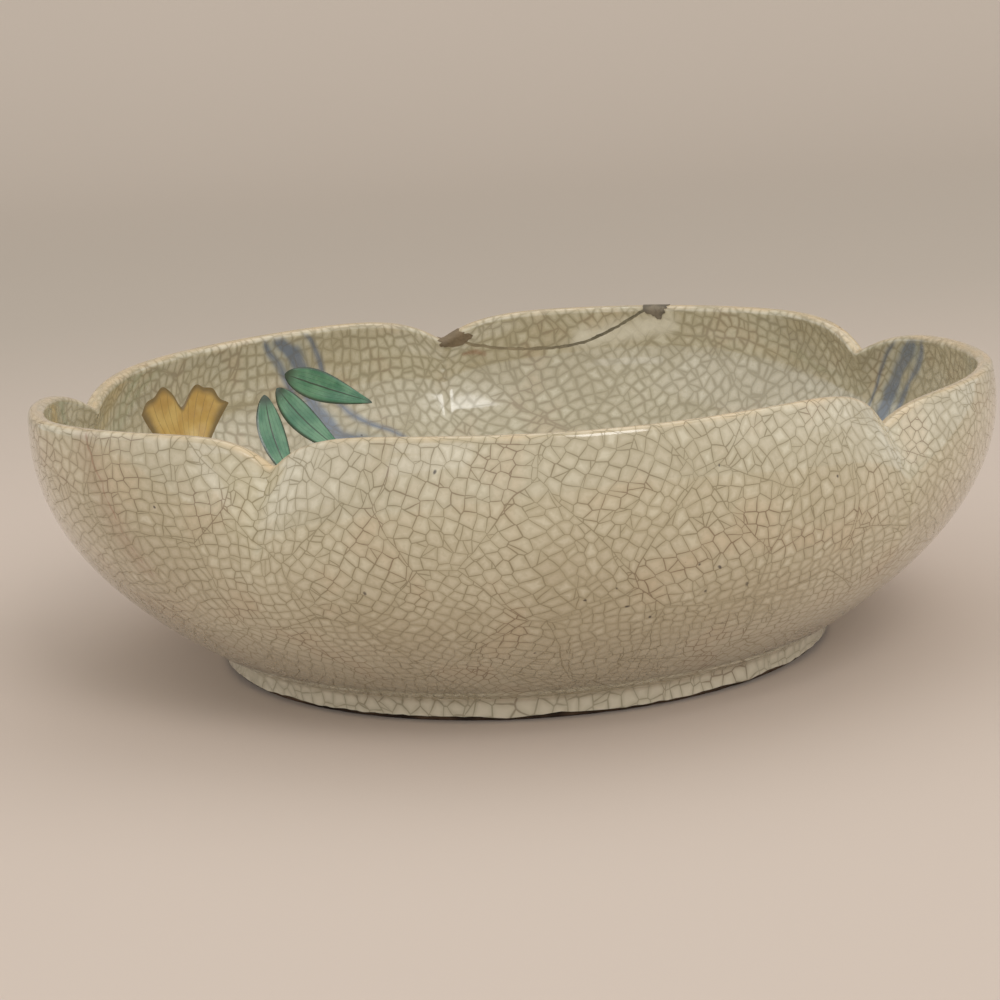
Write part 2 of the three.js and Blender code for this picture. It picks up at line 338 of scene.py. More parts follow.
class Cut(Enum):
    """What a cut leaves of a shape."""

    AWAY = "DIFFERENCE"
    WITHIN = "INTERSECT"


@dataclass(frozen=True)
class Turner:
    """Turns profiles into closed shapes and draws them into petals."""

    form: BowlForm
    columns: int = 320
    band_radius: float = 85.0

    def turned(self, name: str, stations: Sequence[Station], closed: bool,
               nudge: Callable[[Vector, float], Vector] | None = None) -> bpy.types.Object:
        """Turns a profile round the bowl's axis.

        Args:
            name: The name of the piece.
            stations: The profile.
            closed: Whether its last point is joined to its first.
            nudge: Moves a point of the round bowl, given the azimuth.

        Returns:
            The petalled piece, still in millimetres, with its maps.
        """
        shape = bmesh.new()
        for key in ("run", "spread"):
            shape.verts.layers.float.new(key)
        run, spread = (shape.verts.layers.float[key] for key in ("run", "spread"))
        verts = []
        for station in stations:
            vert = shape.verts.new((station.point.x, 0, station.point.y))
            vert[run] = station.run
            vert[spread] = station.spread
            verts.append(vert)
        pairs = list(zip(verts, verts[1:])) + ([(verts[-1], verts[0])] if closed else [])
        edges = [shape.edges.new(pair) for pair in pairs]
        bmesh.ops.spin(shape, geom=verts + edges, cent=(0, 0, 0), axis=(0, 0, 1), dvec=(0, 0, 0),
                       angle=2 * math.pi, steps=self.columns, use_merge=True, use_normal_flip=False,
                       use_duplicate=False)
        bmesh.ops.remove_doubles(shape, verts=shape.verts, dist=MERGE_DISTANCE)
        bmesh.ops.recalc_face_normals(shape, faces=shape.faces)
        for vert in shape.verts:
            azimuth = self.form.gathered(azimuth_of(vert.co))
            point = Vector((math.hypot(vert.co.x, vert.co.y), vert.co.z))
            if nudge:
                point = nudge(point, azimuth)
            vert.co = self.form.petalled(point.x, point.y, azimuth)
        self._map(shape)
        return piece_from(shape, name)

    def _map(self, shape: bmesh.types.BMesh) -> None:
        """Lays the piece out twice.

        The surface map is the skin laid flat, in millimetres: the outside as a band round the bowl, and the
        inside as a disc. The place map gives the azimuth and the run.
        """
        for key in ("surface", "place"):
            shape.loops.layers.uv.new(key)
        surface, place = (shape.loops.layers.uv[key] for key in ("surface", "place"))
        run, spread = (shape.verts.layers.float[key] for key in ("run", "spread"))
        for face in shape.faces:
            outside = sum(vert[run] for vert in face.verts) > 0
            middle = azimuth_of(face.calc_center_median())
            middle = (middle + 180) % 360 - 180 if outside else middle % 360
            for loop in face.loops:
                vert = loop.vert
                on_axis = math.hypot(vert.co.x, vert.co.y) < AXIS_RADIUS
                azimuth = middle if on_axis else middle + (azimuth_of(vert.co) - middle + 180) % 360 - 180
                band = (self.band_radius * math.radians(azimuth), vert[run])
                loop[surface].uv = band if outside else around(azimuth, vert[spread])
                loop[place].uv = (azimuth, vert[run])


def azimuth_of(point: Vector) -> float:
    """Returns the azimuth of a point, in degrees."""
    return math.degrees(math.atan2(point.x, -point.y))


def added(name: str, data: bpy.types.ID) -> bpy.types.Object:
    """Adds a mesh, a light or a camera to the scene."""
    thing = bpy.data.objects.new(name, data)
    bpy.context.scene.collection.objects.link(thing)
    return thing


def rotate(shape: bmesh.types.BMesh, degrees: float, axis: str) -> None:
    """Turns a whole mesh about an axis through the origin."""
    turn = Matrix.Rotation(math.radians(degrees), 3, axis)
    bmesh.ops.rotate(shape, verts=shape.verts, cent=(0, 0, 0), matrix=turn)


def verts_of(grown: dict[str, Any]) -> list[bmesh.types.BMVert]:
    """Returns the points that an extrusion added."""
    return [item for item in grown["geom"] if isinstance(item, bmesh.types.BMVert)]


def piece_from(shape: bmesh.types.BMesh, name: str) -> bpy.types.Object:
    """Makes a piece of a finished mesh and frees the mesh.

    Args:
        shape: The mesh.
        name: The name of the piece.

    Returns:
        The piece, at the origin.
    """
    mesh = bpy.data.meshes.new(name)
    shape.to_mesh(mesh)
    shape.free()
    return added(name, mesh)


def cut(piece: bpy.types.Object, cutter: bpy.types.Object, kept: Cut) -> None:
    """Cuts a piece with a closed shape, which stays as it was.

    Args:
        piece: The piece to cut.
        cutter: The closed shape.
        kept: What is left of the piece.
    """
    modifier = piece.modifiers.new("cut", "BOOLEAN")
    modifier.operation = kept.value
    modifier.object = cutter
    modifier.solver = "EXACT"
    cut_mesh = bpy.data.meshes.new_from_object(piece.evaluated_get(bpy.context.evaluated_depsgraph_get()))
    piece.modifiers.clear()
    piece.data = cut_mesh


def finished(piece: bpy.types.Object, material: bpy.types.Material, slot: str, *nodes: str) -> None:
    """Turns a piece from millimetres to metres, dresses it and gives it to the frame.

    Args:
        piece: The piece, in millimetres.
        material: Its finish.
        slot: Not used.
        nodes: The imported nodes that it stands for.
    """
    shape = bmesh.new()
    shape.from_mesh(piece.data)
    bmesh.ops.scale(shape, vec=(MM, MM, MM), verts=shape.verts)
    for face in shape.faces:
        face.smooth = True
        face.material_index = 0
    for edge in shape.edges:
        edge.smooth = edge.calc_face_angle(0) < SHARP_ANGLE
    shape.to_mesh(piece.data)
    shape.free()
    piece.data.materials.clear()
    piece.data.materials.append(material)
    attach(piece, BODY)
    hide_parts(*nodes)
    LOG.info("%s: %d faces, stands for %s", piece.name, len(piece.data.polygons), ", ".join(nodes))


# Shader maths.


class Wire:
    """An output of a node. Arithmetic on wires and numbers adds Math nodes."""

    def __init__(self, bench: "Bench", socket: bpy.types.NodeSocket) -> None:
        """Holds the socket and the bench that its node stands on."""
        self.bench = bench
        self.socket = socket

    def maths(self, operation: str, *values: "Wire | float", clamp: bool = False) -> "Wire":
        """Adds a Math node.

        Args:
            operation: The node's operation.
            values: What goes into it, in order.
            clamp: Whether the result is held between 0 and 1.

        Returns:
            The node's output.
        """
        settings = {"operation": operation, "use_clamp": clamp}
        return self.bench.add("Math", settings, dict(enumerate(values)))

    def other(self, name: str) -> "Wire":
        """Returns another output of the same node."""
        return Wire(self.bench, self.socket.node.outputs[name])

    def __add__(self, value: "Wire | float") -> "Wire":
        """Adds."""
        return self.maths("ADD", self, value)

    def __radd__(self, value: float) -> "Wire":
        """Adds to a number."""
        return self.maths("ADD", value, self)

    def __sub__(self, value: "Wire | float") -> "Wire":
        """Subtracts."""
        return self.maths("SUBTRACT", self, value)

    def __rsub__(self, value: float) -> "Wire":
        """Subtracts from a number."""
        return self.maths("SUBTRACT", value, self)

    def __mul__(self, value: "Wire | float") -> "Wire":
        """Multiplies."""
        return self.maths("MULTIPLY", self, value)

    def __rmul__(self, value: float) -> "Wire":
        """Multiplies a number."""
        return self.maths("MULTIPLY", value, self)

    def __truediv__(self, value: "Wire | float") -> "Wire":
        """Divides."""
        return self.maths("DIVIDE", self, value)

    def __abs__(self) -> "Wire":
        """Returns the distance from 0."""
        return self.maths("ABSOLUTE", self)

    def sine(self) -> "Wire":
        """Returns the sine, of radians."""
        return self.maths("SINE", self)

    def held(self) -> "Wire":
        """Returns the number, held between 0 and 1."""
        return self.maths("ADD", self, 0.0, clamp=True)

    def least(self, value: "Wire | float") -> "Wire":
        """Returns the smaller of the two."""
        return self.maths("MINIMUM", self, value)

    def most(self, value: "Wire | float") -> "Wire":
        """Returns the larger of the two."""
        return self.maths("MAXIMUM", self, value)

    def ramp(self, start: float, end: float) -> "Wire":
        """Goes smoothly from 0 at start to 1 at end. The start may be the larger of the two."""
        if start > end:
            return 1 - self.ramp(end, start)
        settings = {"interpolation_type": "SMOOTHSTEP"}
        return self.bench.add("MapRange", settings, {"Value": self, "From Min": start, "From Max": end})


class Bench:
    """The nodes of one material."""

    def __init__(self, name: str, **constants: Any) -> None:
        """Starts a material.

        Args:
            name: The material's name.
            constants: Values of the shader's own sockets, with _ for a space.
        """
        self.material = bpy.data.materials.new(name)
        self.material.use_nodes = True
        self.tree = self.material.node_tree
        self.shader = self.tree.nodes["Principled BSDF"]
        for key, value in constants.items():
            self.shader.inputs[key.replace("_", " ").title().replace("Ior", "IOR")].default_value = value

    def add(self, kind: str, settings: dict[str, Any], inputs: dict[int | str, Any],
            output: int | str = 0) -> Wire:
        """Adds a node.

        Args:
            kind: The node's type, without ShaderNode.
            settings: The node's settings, which are set first.
            inputs: A value or a wire for each input, by place or by name.
            output: The place or the name of the output to return.

        Returns:
            That output.
        """
        node = self.tree.nodes.new("ShaderNode" + kind)
        for key, value in settings.items():
            setattr(node, key, value)
        for key, value in inputs.items():
            if isinstance(value, Wire):
                self.tree.links.new(value.socket, node.inputs[key])
            else:
                node.inputs[key].default_value = value
        return Wire(self, node.outputs[output])

    def paint(self, **inputs: Wire) -> bpy.types.Material:
        """Links wires to the shader's sockets and returns the material."""
        for key, wire in inputs.items():
            self.tree.links.new(wire.socket, self.shader.inputs[key.replace("_", " ").title()])
        return self.material

    def blend(self, share: Wire | float, under: Wire | Colour, over: Wire | Colour) -> Wire:
        """Lays one colour over another.

        Args:
            share: How much of the upper colour shows.
            under: The lower colour.
            over: The upper colour.

        Returns:
            The mixed colour.
        """
        settings = {"data_type": "RGBA", "clamp_factor": True}
        return self.add("Mix", settings, {0: share, 6: under, 7: over}, 2)

    def vector(self, operation: str, first: Wire, second: Any = (0, 0, 0), output: str = "Vector") -> Wire:
        """Adds a Vector Math node on two vectors and returns one of its outputs."""
        return self.add("VectorMath", {"operation": operation}, {0: first, 1: second}, output)

    def scaled(self, vector: Wire | Vector, share: Wire | float) -> Wire:
        """Returns a vector made longer or shorter."""
        return self.add("VectorMath", {"operation": "SCALE"}, {0: vector, "Scale": share})

    def parts(self, vector: Wire) -> tuple[Wire, Wire, Wire]:
        """Returns the three numbers of a vector."""
        split = self.add("SeparateXYZ", {}, {0: vector})
        return split, split.other("Y"), split.other("Z")

    def grain(self, place: Wire, size: float, detail: float = 2.0, flat: bool = False,
              output: str = "Fac") -> Wire:
        """Adds smooth random grain.

        Args:
            place: Where the grain is read.
            size: The size of its largest waves, in the units of the place.
            detail: How many finer waves it has.
            flat: Whether the place is on a flat map.
            output: Fac for a number around 0.5, or Color for three.

        Returns:
            The grain.
        """
        settings = {"noise_dimensions": "2D" if flat else "3D"}
        return self.add("TexNoise", settings, {"Vector": place, "Scale": 1 / size, "Detail": detail}, output)

    def shaken(self, moved: Wire, place: Wire, reach: float, size: float) -> Wire:
        """Moves a point of a flat map about, by up to the reach, in waves of a size read at a place."""
        random = self.vector("SUBTRACT", self.grain(place, size, 1, True, "Color"), Vector((0.5, 0.5, 0.5)))
        return self.vector("ADD", moved, self.scaled(random, 2 * reach))

    def bump(self, height: Wire, distance: float, under: Wire | None = None) -> Wire:
        """Adds a Bump node.

        Args:
            height: The height of the surface, 0 to 1.
            distance: How far 1 stands proud, in metres.
            under: Another bump that it lies on.

        Returns:
            The bumped normal.
        """
        inputs = {"Height": height, "Distance": distance, "Strength": 1.0}
        return self.add("Bump", {}, inputs | ({"Normal": under} if under else {}))


# Finishes.


@dataclass(frozen=True)
class Net:
    """What the net of cracks gives at a point.

    The nearest is the distance to the nearest crack in millimetres. The depth goes from 0 at the cracks to 1
    in the middle of a cell, and the random number is the cell's own.
    """

    nearest: Wire
    depth: Wire
    random: Wire


class Spread(Enum):
    """What is parted into uneven fields."""

    LINE = "1D"
    SURFACE = "2D"


@dataclass(frozen=True)
class Crazing:
    """The net of fine cracks in a fired glaze.

    Long cracks part the surface into fields. Each field is crazed in cells that lie in loose rows, and some
    of the cells are split once more.
    """

    field_size: float = 19.0
    cell_size: float = 2.3
    cell_jitter: float = 0.5
    split_share: float = 0.26
    split_size: float = 2.875
    split_jitter: float = 0.4
    split_shift: float = 90.0
    curl: float = 2.8
    curl_size: float = 24.0
    shake: float = 0.42
    shake_size: float = 5.0
    halo: float = 0.9
    inside_growth: float = 0.3
    foot_growth: float = 0.4

    def lines(self, bench: Bench, surface: Wire, inside: Wire, foot: Wire) -> Net:
        """Draws the net.

        Args:
            bench: The material's bench.
            surface: The surface map.
            inside: 1 inside the bowl, where the cells are larger, and 0 outside it.
            foot: 1 on the foot, where they are larger too, and 0 above it.

        Returns:
            The net.
        """
        place = bench.scaled(surface, 1 - inside * self.inside_growth - foot * self.foot_growth)
        moved = bench.shaken(place, place, self.curl, self.curl_size)
        moved = bench.shaken(moved, place, self.shake, self.shake_size)
        field_random, field_distance = self._fields(bench, moved, self.field_size, Spread.SURFACE, 1.0)
        turned = self._turned(bench, moved, bench.parts(field_random)[0])
        cell_random, cell_distance = self._fields(
            bench, turned, self.cell_size, Spread.SURFACE, self.cell_jitter)
        turn, shift, chance = bench.parts(cell_random)
        across = bench.parts(self._turned(bench, turned, turn))[0] + shift * self.split_shift
        split_random, split_distance = self._fields(
            bench, across, self.split_size, Spread.LINE, self.split_jitter)
        whole = chance.maths("GREATER_THAN", chance, self.split_share)
        split_distance = split_distance + whole * self.cell_size
        depth = field_distance.ramp(0, self.halo) * cell_distance.ramp(0, self.halo)
        depth = depth * split_distance.ramp(0, self.halo)
        mixed = bench.parts(split_random)[0] * (1 - whole) + shift + turn
        nearest = field_distance.least(cell_distance).least(split_distance)
        return Net(nearest, depth, mixed.maths("FRACT", mixed * 3.7))

    def _turned(self, bench: Bench, place: Wire, share: Wire) -> Wire:
        """Turns a place about the map's middle by a share of half a turn."""
        inputs = {"Vector": place, "Angle": share * math.pi}
        return bench.add("VectorRotate", {"rotation_type": "Z_AXIS"}, inputs)

    def _fields(self, bench: Bench, place: Wire, size: float, spread: Spread,
                jitter: float) -> tuple[Wire, Wire]:
        """Parts the surface, or a line, into uneven fields.

        Args:
            bench: The material's bench.
            place: Where it is read.
            size: The size of a field in millimetres.
            spread: Whether a line or the surface is parted.
            jitter: How uneven the fields are, 0 to 1.

        Returns:
            A random colour for each field, and the distance to its edge in millimetres.
        """
        settings = {"voronoi_dimensions": spread.value}
        axis = "W" if spread is Spread.LINE else "Vector"
        inputs = {axis: place, "Scale": 1 / size, "Randomness": jitter}
        random = bench.add("TexVoronoi", settings, inputs, "Color")
        edge = bench.add("TexVoronoi", settings | {"feature": "DISTANCE_TO_EDGE"}, inputs, "Distance")
        return random, edge * size


@dataclass(frozen=True)
class Painting:
    """Blue brushwork under the glaze: a stream of wavy lines that crosses the inside of the bowl.

    The places are on the inside's flat map, given as an azimuth and a radius. Offsets are from the stream's
    middle line, and widths are those of each brushed line. Each side of the pale wash fades in between two
    distances from the middle line.
    """

    start: Pair = (215, 112)
    middle: Pair = (186, 66)
    end: Pair = (110, 112)
    offsets: tuple[float, ...] = (-6.5, 0.0, 5.5)
    widths: tuple[float, ...] = (1.4, 4.0, 1.8)
    wave: float = 1.9
    wave_length: float = 34.0
    edge_softness: float = 1.2
    wander: float = 3.0
    wander_size: float = 14.0
    patch_size: float = 9.0
    bristle_pace: Pair = (0.08, 1.7)
    wash_sides: tuple[Pair, Pair] = ((10.0, 2.0), (-6.0, 0.0))
    blue: Colour = colour(98, 110, 130)
    pale_blue: Colour = colour(150, 156, 152)

    def centre(self) -> tuple[Vector, float]:
        """Returns the centre and the radius of the circle that the stream follows on the flat map."""
        places = [around(*place) for place in (self.start, self.middle, self.end)]
        (ax, ay), (bx, by), (cx, cy) = places
        double = 2 * (ax * (by - cy) + bx * (cy - ay) + cx * (ay - by))
        squares = [x * x + y * y for x, y in places]
        x = (squares[0] * (by - cy) + squares[1] * (cy - ay) + squares[2] * (ay - by)) / double
        y = (squares[0] * (cx - bx) + squares[1] * (ax - cx) + squares[2] * (bx - ax)) / double
        return Vector((x, y, 0)), math.hypot(ax - x, ay - y)

    def laid(self, bench: Bench, ground: Wire, surface: Wire, inside: Wire) -> Wire:
        """Paints the stream.

        Args:
            bench: The material's bench.
            ground: The glaze's colour.
            surface: The surface map.
            inside: 1 inside the bowl and 0 outside it.

        Returns:
            The painted colour.
        """
        centre, radius = self.centre()
        arm = bench.vector("SUBTRACT", surface, centre)
        x, y, _ = bench.parts(arm)
        length = bench.vector("LENGTH", arm, output="Value")
        along = x.maths("ARCTAN2", y, x) * radius
        wander = (bench.grain(surface, self.wander_size, 1, True) - 0.5) * self.wander
        wave = (along * (math.tau / self.wave_length)).sine() * self.wave
        off = length - radius + wave + wander
        pace_along, pace_across = self.bristle_pace
        bristle_place = bench.add("CombineXYZ", {}, {"X": along * pace_along, "Y": off * pace_across})
        bristle = bench.grain(bristle_place, 1.0, 3, True)
        patch = bench.grain(surface, self.patch_size, 2, True)
        strokes = []
        for offset, width in zip(self.offsets, self.widths):
            half = width / 2 * (0.55 + patch * 0.9)
            near = (abs(off - offset) - half).ramp(self.edge_softness, -self.edge_softness)
            strokes.append(near * (0.5 + bristle * 0.9))
        stroke = functools.reduce(Wire.most, strokes)
        upper, lower = (off.ramp(*side) for side in self.wash_sides)
        wash = upper * lower * patch.ramp(0.2, 0.7)
        pale = bench.blend(wash * inside * 0.8, ground, self.pale_blue)
        return bench.blend((stroke * inside).least(0.85), pale, self.blue)


@dataclass(frozen=True)
class Mark:
    """A mark in the glaze, from one place to another. A place is an azimuth and a run."""

    start: Pair
    end: Pair
    half_width: float
    softness: float = 0.3
    weight: float = 1.0

    def strength(self, bench: Bench, flat: Wire, mm_per_degree: float) -> Wire:
        """Measures how much of the mark lies at a point.

        Args:
            bench: The material's bench.
            flat: The point's place, in millimetres.
            mm_per_degree: Millimetres in a degree of azimuth.

        Returns:
            The share, 0 to 1.
        """
        start, end = (Vector((azimuth * mm_per_degree, run, 0)) for azimuth, run in (self.start, self.end))
        way = end - start
        arm = bench.vector("SUBTRACT", flat, start)
        if way.length > 0:
            along = bench.vector("DOT_PRODUCT", arm, way / way.length_squared, "Value")
            arm = bench.vector("SUBTRACT", arm, bench.scaled(way, along.held()))
        away = bench.vector("LENGTH", arm, output="Value")
        near = away.ramp(self.half_width + self.softness, max(self.half_width - self.softness, 0))
        return near * self.weight


def spots(*places: tuple[float, float, float], core: float = 0.78,
          softness: float = 0.4) -> tuple[Mark, ...]:
    """Makes round marks.

    Args:
        places: The azimuth, the run and the radius of each mark.
        core: The half width of its full part, as a share of its radius.
        softness: The softness of its edge, as a share of its radius.

    Returns:
        The marks.
    """
    return tuple(Mark((azimuth, run), (azimuth, run), radius * core, radius * softness)
                 for azimuth, run, radius in places)


def hairline(places: Sequence[Pair], half_widths: Sequence[float], softness: float) -> tuple[Mark, ...]:
    """Makes a row of marks that lead from place to place.

    Args:
        places: The places.
        half_widths: The half width of each mark.
        softness: The softness of their edges.

    Returns:
        The marks.
    """
    steps = zip(places, places[1:], half_widths)
    return tuple(Mark(start, end, half_width, softness) for start, end, half_width in steps)


@dataclass(frozen=True)
class GlazeFinish:
    """Crazed cream-grey glaze with brown stains in its cracks, warm along the rim where it wears thin, and
    paler on the lip's top as a painted highlight.

    Pairs of runs are where something starts and where it is full. Heights are in metres, other sizes in
    millimetres.
    """

    name: str = "crazed_glaze"
    pale: Colour = colour(208, 198, 172)
    middle: Colour = colour(190, 177, 149)
    deep: Colour = colour(166, 153, 120)
    warm: Colour = colour(194, 168, 132)
    crack: Colour = colour(108, 94, 60)
    stained_crack: Colour = colour(106, 78, 52)
    low_tint: Colour = colour(176, 176, 154)
    # Warm colour of the thinned glaze at the rim, made pale as a painted highlight on the lip's top.
    rim_wear_and_sheen: Colour = colour(218, 188, 144)
    speck: Colour = colour(46, 34, 24)
    rust: Colour = colour(142, 94, 64)
    # Pale chalky colour: pooled glaze on the foot and a smear by the seam, both also used as painted light.
    chalk_and_light: Colour = colour(224, 214, 192)
    pinholes: tuple[Mark, ...] = spots(
        (-18, 27.4, 0.42), (-15.5, 29.6, 0.32), (-9, 6.6, 0.35), (6, 30.3, 0.35), (9.5, 28.1, 0.3),
        (11, 33.4, 0.4), (0.5, 45.2, 0.4), (14, 36.6, 0.4), (21, 8.5, 0.3), (36.5, 14.1, 0.35),
        (17, 24.6, 0.3), (21, 26.7, 0.45), (25, 31.8, 0.5), (18.5, 25.3, 0.3), (20, 31.8, 0.45),
        (-43, 13.5, 0.35), (70, 22, 0.4), (98, 35, 0.45), (131, 12, 0.4), (-95, 30, 0.45),
        (-128, 18, 0.35), (-160, 34, 0.5), (205, -30, 0.35),
    )
    rust_marks: tuple[Mark, ...] = (
        *hairline(((-52.5, 1.4), (-51, 7.9), (-50, 12.2), (-49, 18.6), (-47, 27.4)),
                  (0.2, 0.15, 0.1, 0.05), 0.4),
        *spots((-61.5, 0.6, 0.5), (-2.5, 0.3, 0.5)),
        Mark((183.5, -9.8), (186.5, -8.5), 0.1, 1.0),
        Mark((-52.5, 3.0), (-48, 26), 0.0, 5.0, 0.35),
    )
    # A pale chalky smear beside the seam, which is also a painted highlight inside the back rim.
    chalk_and_light_marks: tuple[Mark, ...] = (Mark((156, -5), (168.5, -8.5), 2.6, 2.2),)
    dull_marks: tuple[Mark, ...] = (Mark((-31, 0), (-32, 14), 2.0, 5.0),)
    crazing: Crazing = Crazing()
    painting: Painting | None = Painting()
    line_width: float = 0.072
    inside_runs: Pair = (0.5, -0.5)
    painted_runs: Pair = (-0.8, -3.4)
    low_runs: Pair = (28.0, 62.0)
    foot_runs: Pair = (68.9, 69.1)
    crest_run: float = 0.3
    crest_reach: Pair = (2.4, 0.6)
    cloud_size: float = 30.0
    stain_size: float = 15.0
    rim_wear_and_sheen_size: float = 10.0
    line_patch_size: float = 4.0
    fleck_size: float = 1.1
    swell_size: float = 11.0
    swell_height: float = 0.0003
    ripple_size: float = 2.4
    pit_size: float = 0.9
    relief_height: float = 0.00005
    mark_shake: float = 0.7
    mark_shake_size: float = 3.0
    mm_per_degree: float = 1.6

    def material(self) -> bpy.types.Material:
        """Builds the glaze."""
        bench = Bench(self.name, specular_ior_level=0.45, coat_roughness=0.08, coat_ior=1.7)
        surface = bench.add("UVMap", {"uv_map": "surface"}, {})
        azimuth, run, _ = bench.parts(bench.add("UVMap", {"uv_map": "place"}, {}))
        inside = run.ramp(*self.inside_runs)
        crest = abs(run - self.crest_run).ramp(*self.crest_reach)
        low = run.ramp(*self.low_runs)
        foot = run.ramp(*self.foot_runs)
        net = self.crazing.lines(bench, surface, inside, foot)
        cloud = bench.grain(surface, self.cloud_size, 2, True)
        stain = bench.grain(surface, self.stain_size, 3, True)
        fleck = bench.grain(surface, self.fleck_size, 2, True)
        ground = self._ground(bench, net, cloud, stain, fleck, low)
        ground = bench.blend(low * 0.3, ground, self.low_tint)
        if self.painting:
            ground = self.painting.laid(bench, ground, surface, run.ramp(*self.painted_runs))
        # The rim's crest: glaze thinned and warm, plus a painted highlight on the lip's top.
        rim_wear_and_sheen = (crest * (bench.grain(surface, self.rim_wear_and_sheen_size, 3, True) * 1.5 - 0.3)).most(0)
        ground = bench.blend(rim_wear_and_sheen, ground, self.rim_wear_and_sheen)
        # Pale foot band: glaze pooled there, and painted light that lifts the shade under the wall's
        # overhang.
        ground = bench.blend(foot * (0.5 + net.depth * 0.4), ground, self.chalk_and_light)
        flat = bench.add("CombineXYZ", {}, {"X": azimuth * self.mm_per_degree, "Y": run})
        flat = bench.shaken(flat, flat, self.mark_shake, self.mark_shake_size)
        # Pale smear beside the seam: chalky residue and a painted highlight, which also fades the cracks
        # there.
        chalk_and_light_patch = bench.grain(flat, self.line_patch_size, 2, True)
        chalk_and_light = self._marked(bench, flat, self.chalk_and_light_marks) * (0.45 + chalk_and_light_patch)
        ground = bench.blend(chalk_and_light * 0.85, ground, self.chalk_and_light)
        ground = bench.blend(self._marked(bench, flat, self.rust_marks) * 0.6, ground, self.rust)
        line = self._line(bench, surface, net.nearest, inside, low)
        opacity = line * (0.68 - inside * 0.34 - foot * 0.12) * (0.45 + stain * 0.9) * (1 - chalk_and_light * 0.85)
        crack = bench.blend(stain.ramp(0.52, 0.68), self.crack, self.stained_crack)
        painted = bench.blend(opacity.least(0.85), ground, crack)
        painted = bench.blend(self._marked(bench, flat, self.pinholes) * 0.85, painted, self.speck)
        cells = (net.depth * 0.1 - line * 0.2) * (1 - inside * 0.6)
        normal = self._normal(bench, surface, cells, crest)
        dull = self._marked(bench, flat, self.dull_marks)
        rough = 0.22 + line * 0.25 + cloud * 0.1 + dull * 0.3
        coat = (0.95 - line * (0.5 - inside * 0.3)) * (1 - dull * 0.85)
        return bench.paint(base_color=painted, roughness=rough, coat_weight=coat, normal=normal)

    def _ground(self, bench: Bench, net: Net, cloud: Wire, stain: Wire, fleck: Wire, low: Wire) -> Wire:
        """Mixes the glaze's own colour: clouds, warm patches, cells of uneven paleness and stained edges."""
        ground = bench.blend(cloud.ramp(0.35, 0.65) * 0.6 + net.random * 0.3, self.middle, self.pale)
        ground = bench.blend(stain.ramp(0.5, 0.75) * 0.4, ground, self.warm)
        ground = bench.blend(net.random.ramp(0.72, 0.95) * net.depth * (0.7 - low * 0.4), ground, self.pale)
        ground = bench.blend(fleck.ramp(0.48, 0.72) * 0.25, ground, self.deep)
        return bench.blend((1 - net.depth) * (0.8 - cloud * 0.4) * (1 - low * 0.5), ground, self.deep)

    def _line(self, bench: Bench, surface: Wire, nearest: Wire, inside: Wire, low: Wire) -> Wire:
        """Returns 1 in a crack and 0 beside it. Cracks are wider inside the bowl and low on its wall."""
        width = self.line_width * (0.85 + inside * 1.9 + low * 0.4)
        patch = bench.grain(surface, self.line_patch_size, 2, True).ramp(0.3, 0.7)
        return (nearest / (width * (0.6 + patch * 0.8))).ramp(2.1, 0.1)

    def _normal(self, bench: Bench, surface: Wire, cells: Wire, crest: Wire) -> Wire:
        """Returns the normal: swells, and on them the cells, the ripples and the pits of the crest."""
        swell = bench.bump(bench.grain(surface, self.swell_size, 1, True), self.swell_height)
        ripple = bench.grain(surface, self.ripple_size, 2, True)
        pits = bench.grain(surface, self.pit_size, 2, True) * crest
        return bench.bump(cells + ripple * 0.35 + pits, self.relief_height, swell)

    def _marked(self, bench: Bench, flat: Wire, marks: Sequence[Mark]) -> Wire:
        """Returns the strongest of some marks at a point."""
        strengths = [mark.strength(bench, flat, self.mm_per_degree) for mark in marks]
        return functools.reduce(Wire.most, strengths)


@dataclass(frozen=True)
class ClayFinish:
    """Fired clay, matt and grainy. Its sizes are in metres."""

    name: str
    light: Colour
    dark: Colour
    patch_size: float = 0.009
    grit_size: float = 0.0007
    grit_height: float = 0.00015

    def material(self) -> bpy.types.Material:
        """Builds the clay."""
        bench = Bench(self.name, specular_ior_level=0.2)
        place = bench.add("TexCoord", {}, {}, "Object")
        patch = bench.grain(place, self.patch_size, 3)
        grit = bench.grain(place, self.grit_size, 2)
        base = bench.blend(patch.ramp(0.35, 0.65), self.dark, self.light)
        base = bench.blend(grit.ramp(0.58, 0.7) * 0.5, base, self.dark)
        normal = bench.bump(grit, self.grit_height)
        return bench.paint(base_color=base, roughness=0.75 + grit * 0.3, normal=normal)


@dataclass(frozen=True)
class MendFinish:
    """Set adhesive or filler, dull and uneven. Its sizes are in metres."""

    name: str
    light: Colour
    dark: Colour
    thin: Colour
    patch_size: float = 0.0035
    grit_size: float = 0.0006
    grit_height: float = 0.0002
    thin_from: Pair = (0.022, 0.002)

    def material(self) -> bpy.types.Material:
        """Builds the finish, which thins out towards the notch."""
        bench = Bench(self.name, specular_ior_level=0.3)
        place = bench.add("TexCoord", {}, {}, "Object")
        patch = bench.grain(place, self.patch_size, 3)
        grit = bench.grain(place, self.grit_size, 2)
        base = bench.blend(patch.ramp(0.38, 0.62), self.dark, self.light)
        base = bench.blend(grit.ramp(0.55, 0.65) * 0.4, base, self.dark)
        share = bench.parts(place)[0].ramp(*self.thin_from) * (0.35 + patch * 0.7)
        base = bench.blend(share, base, self.thin)
        normal = bench.bump(grit, self.grit_height)
        return bench.paint(base_color=base, roughness=0.55 + grit * 0.35, normal=normal)


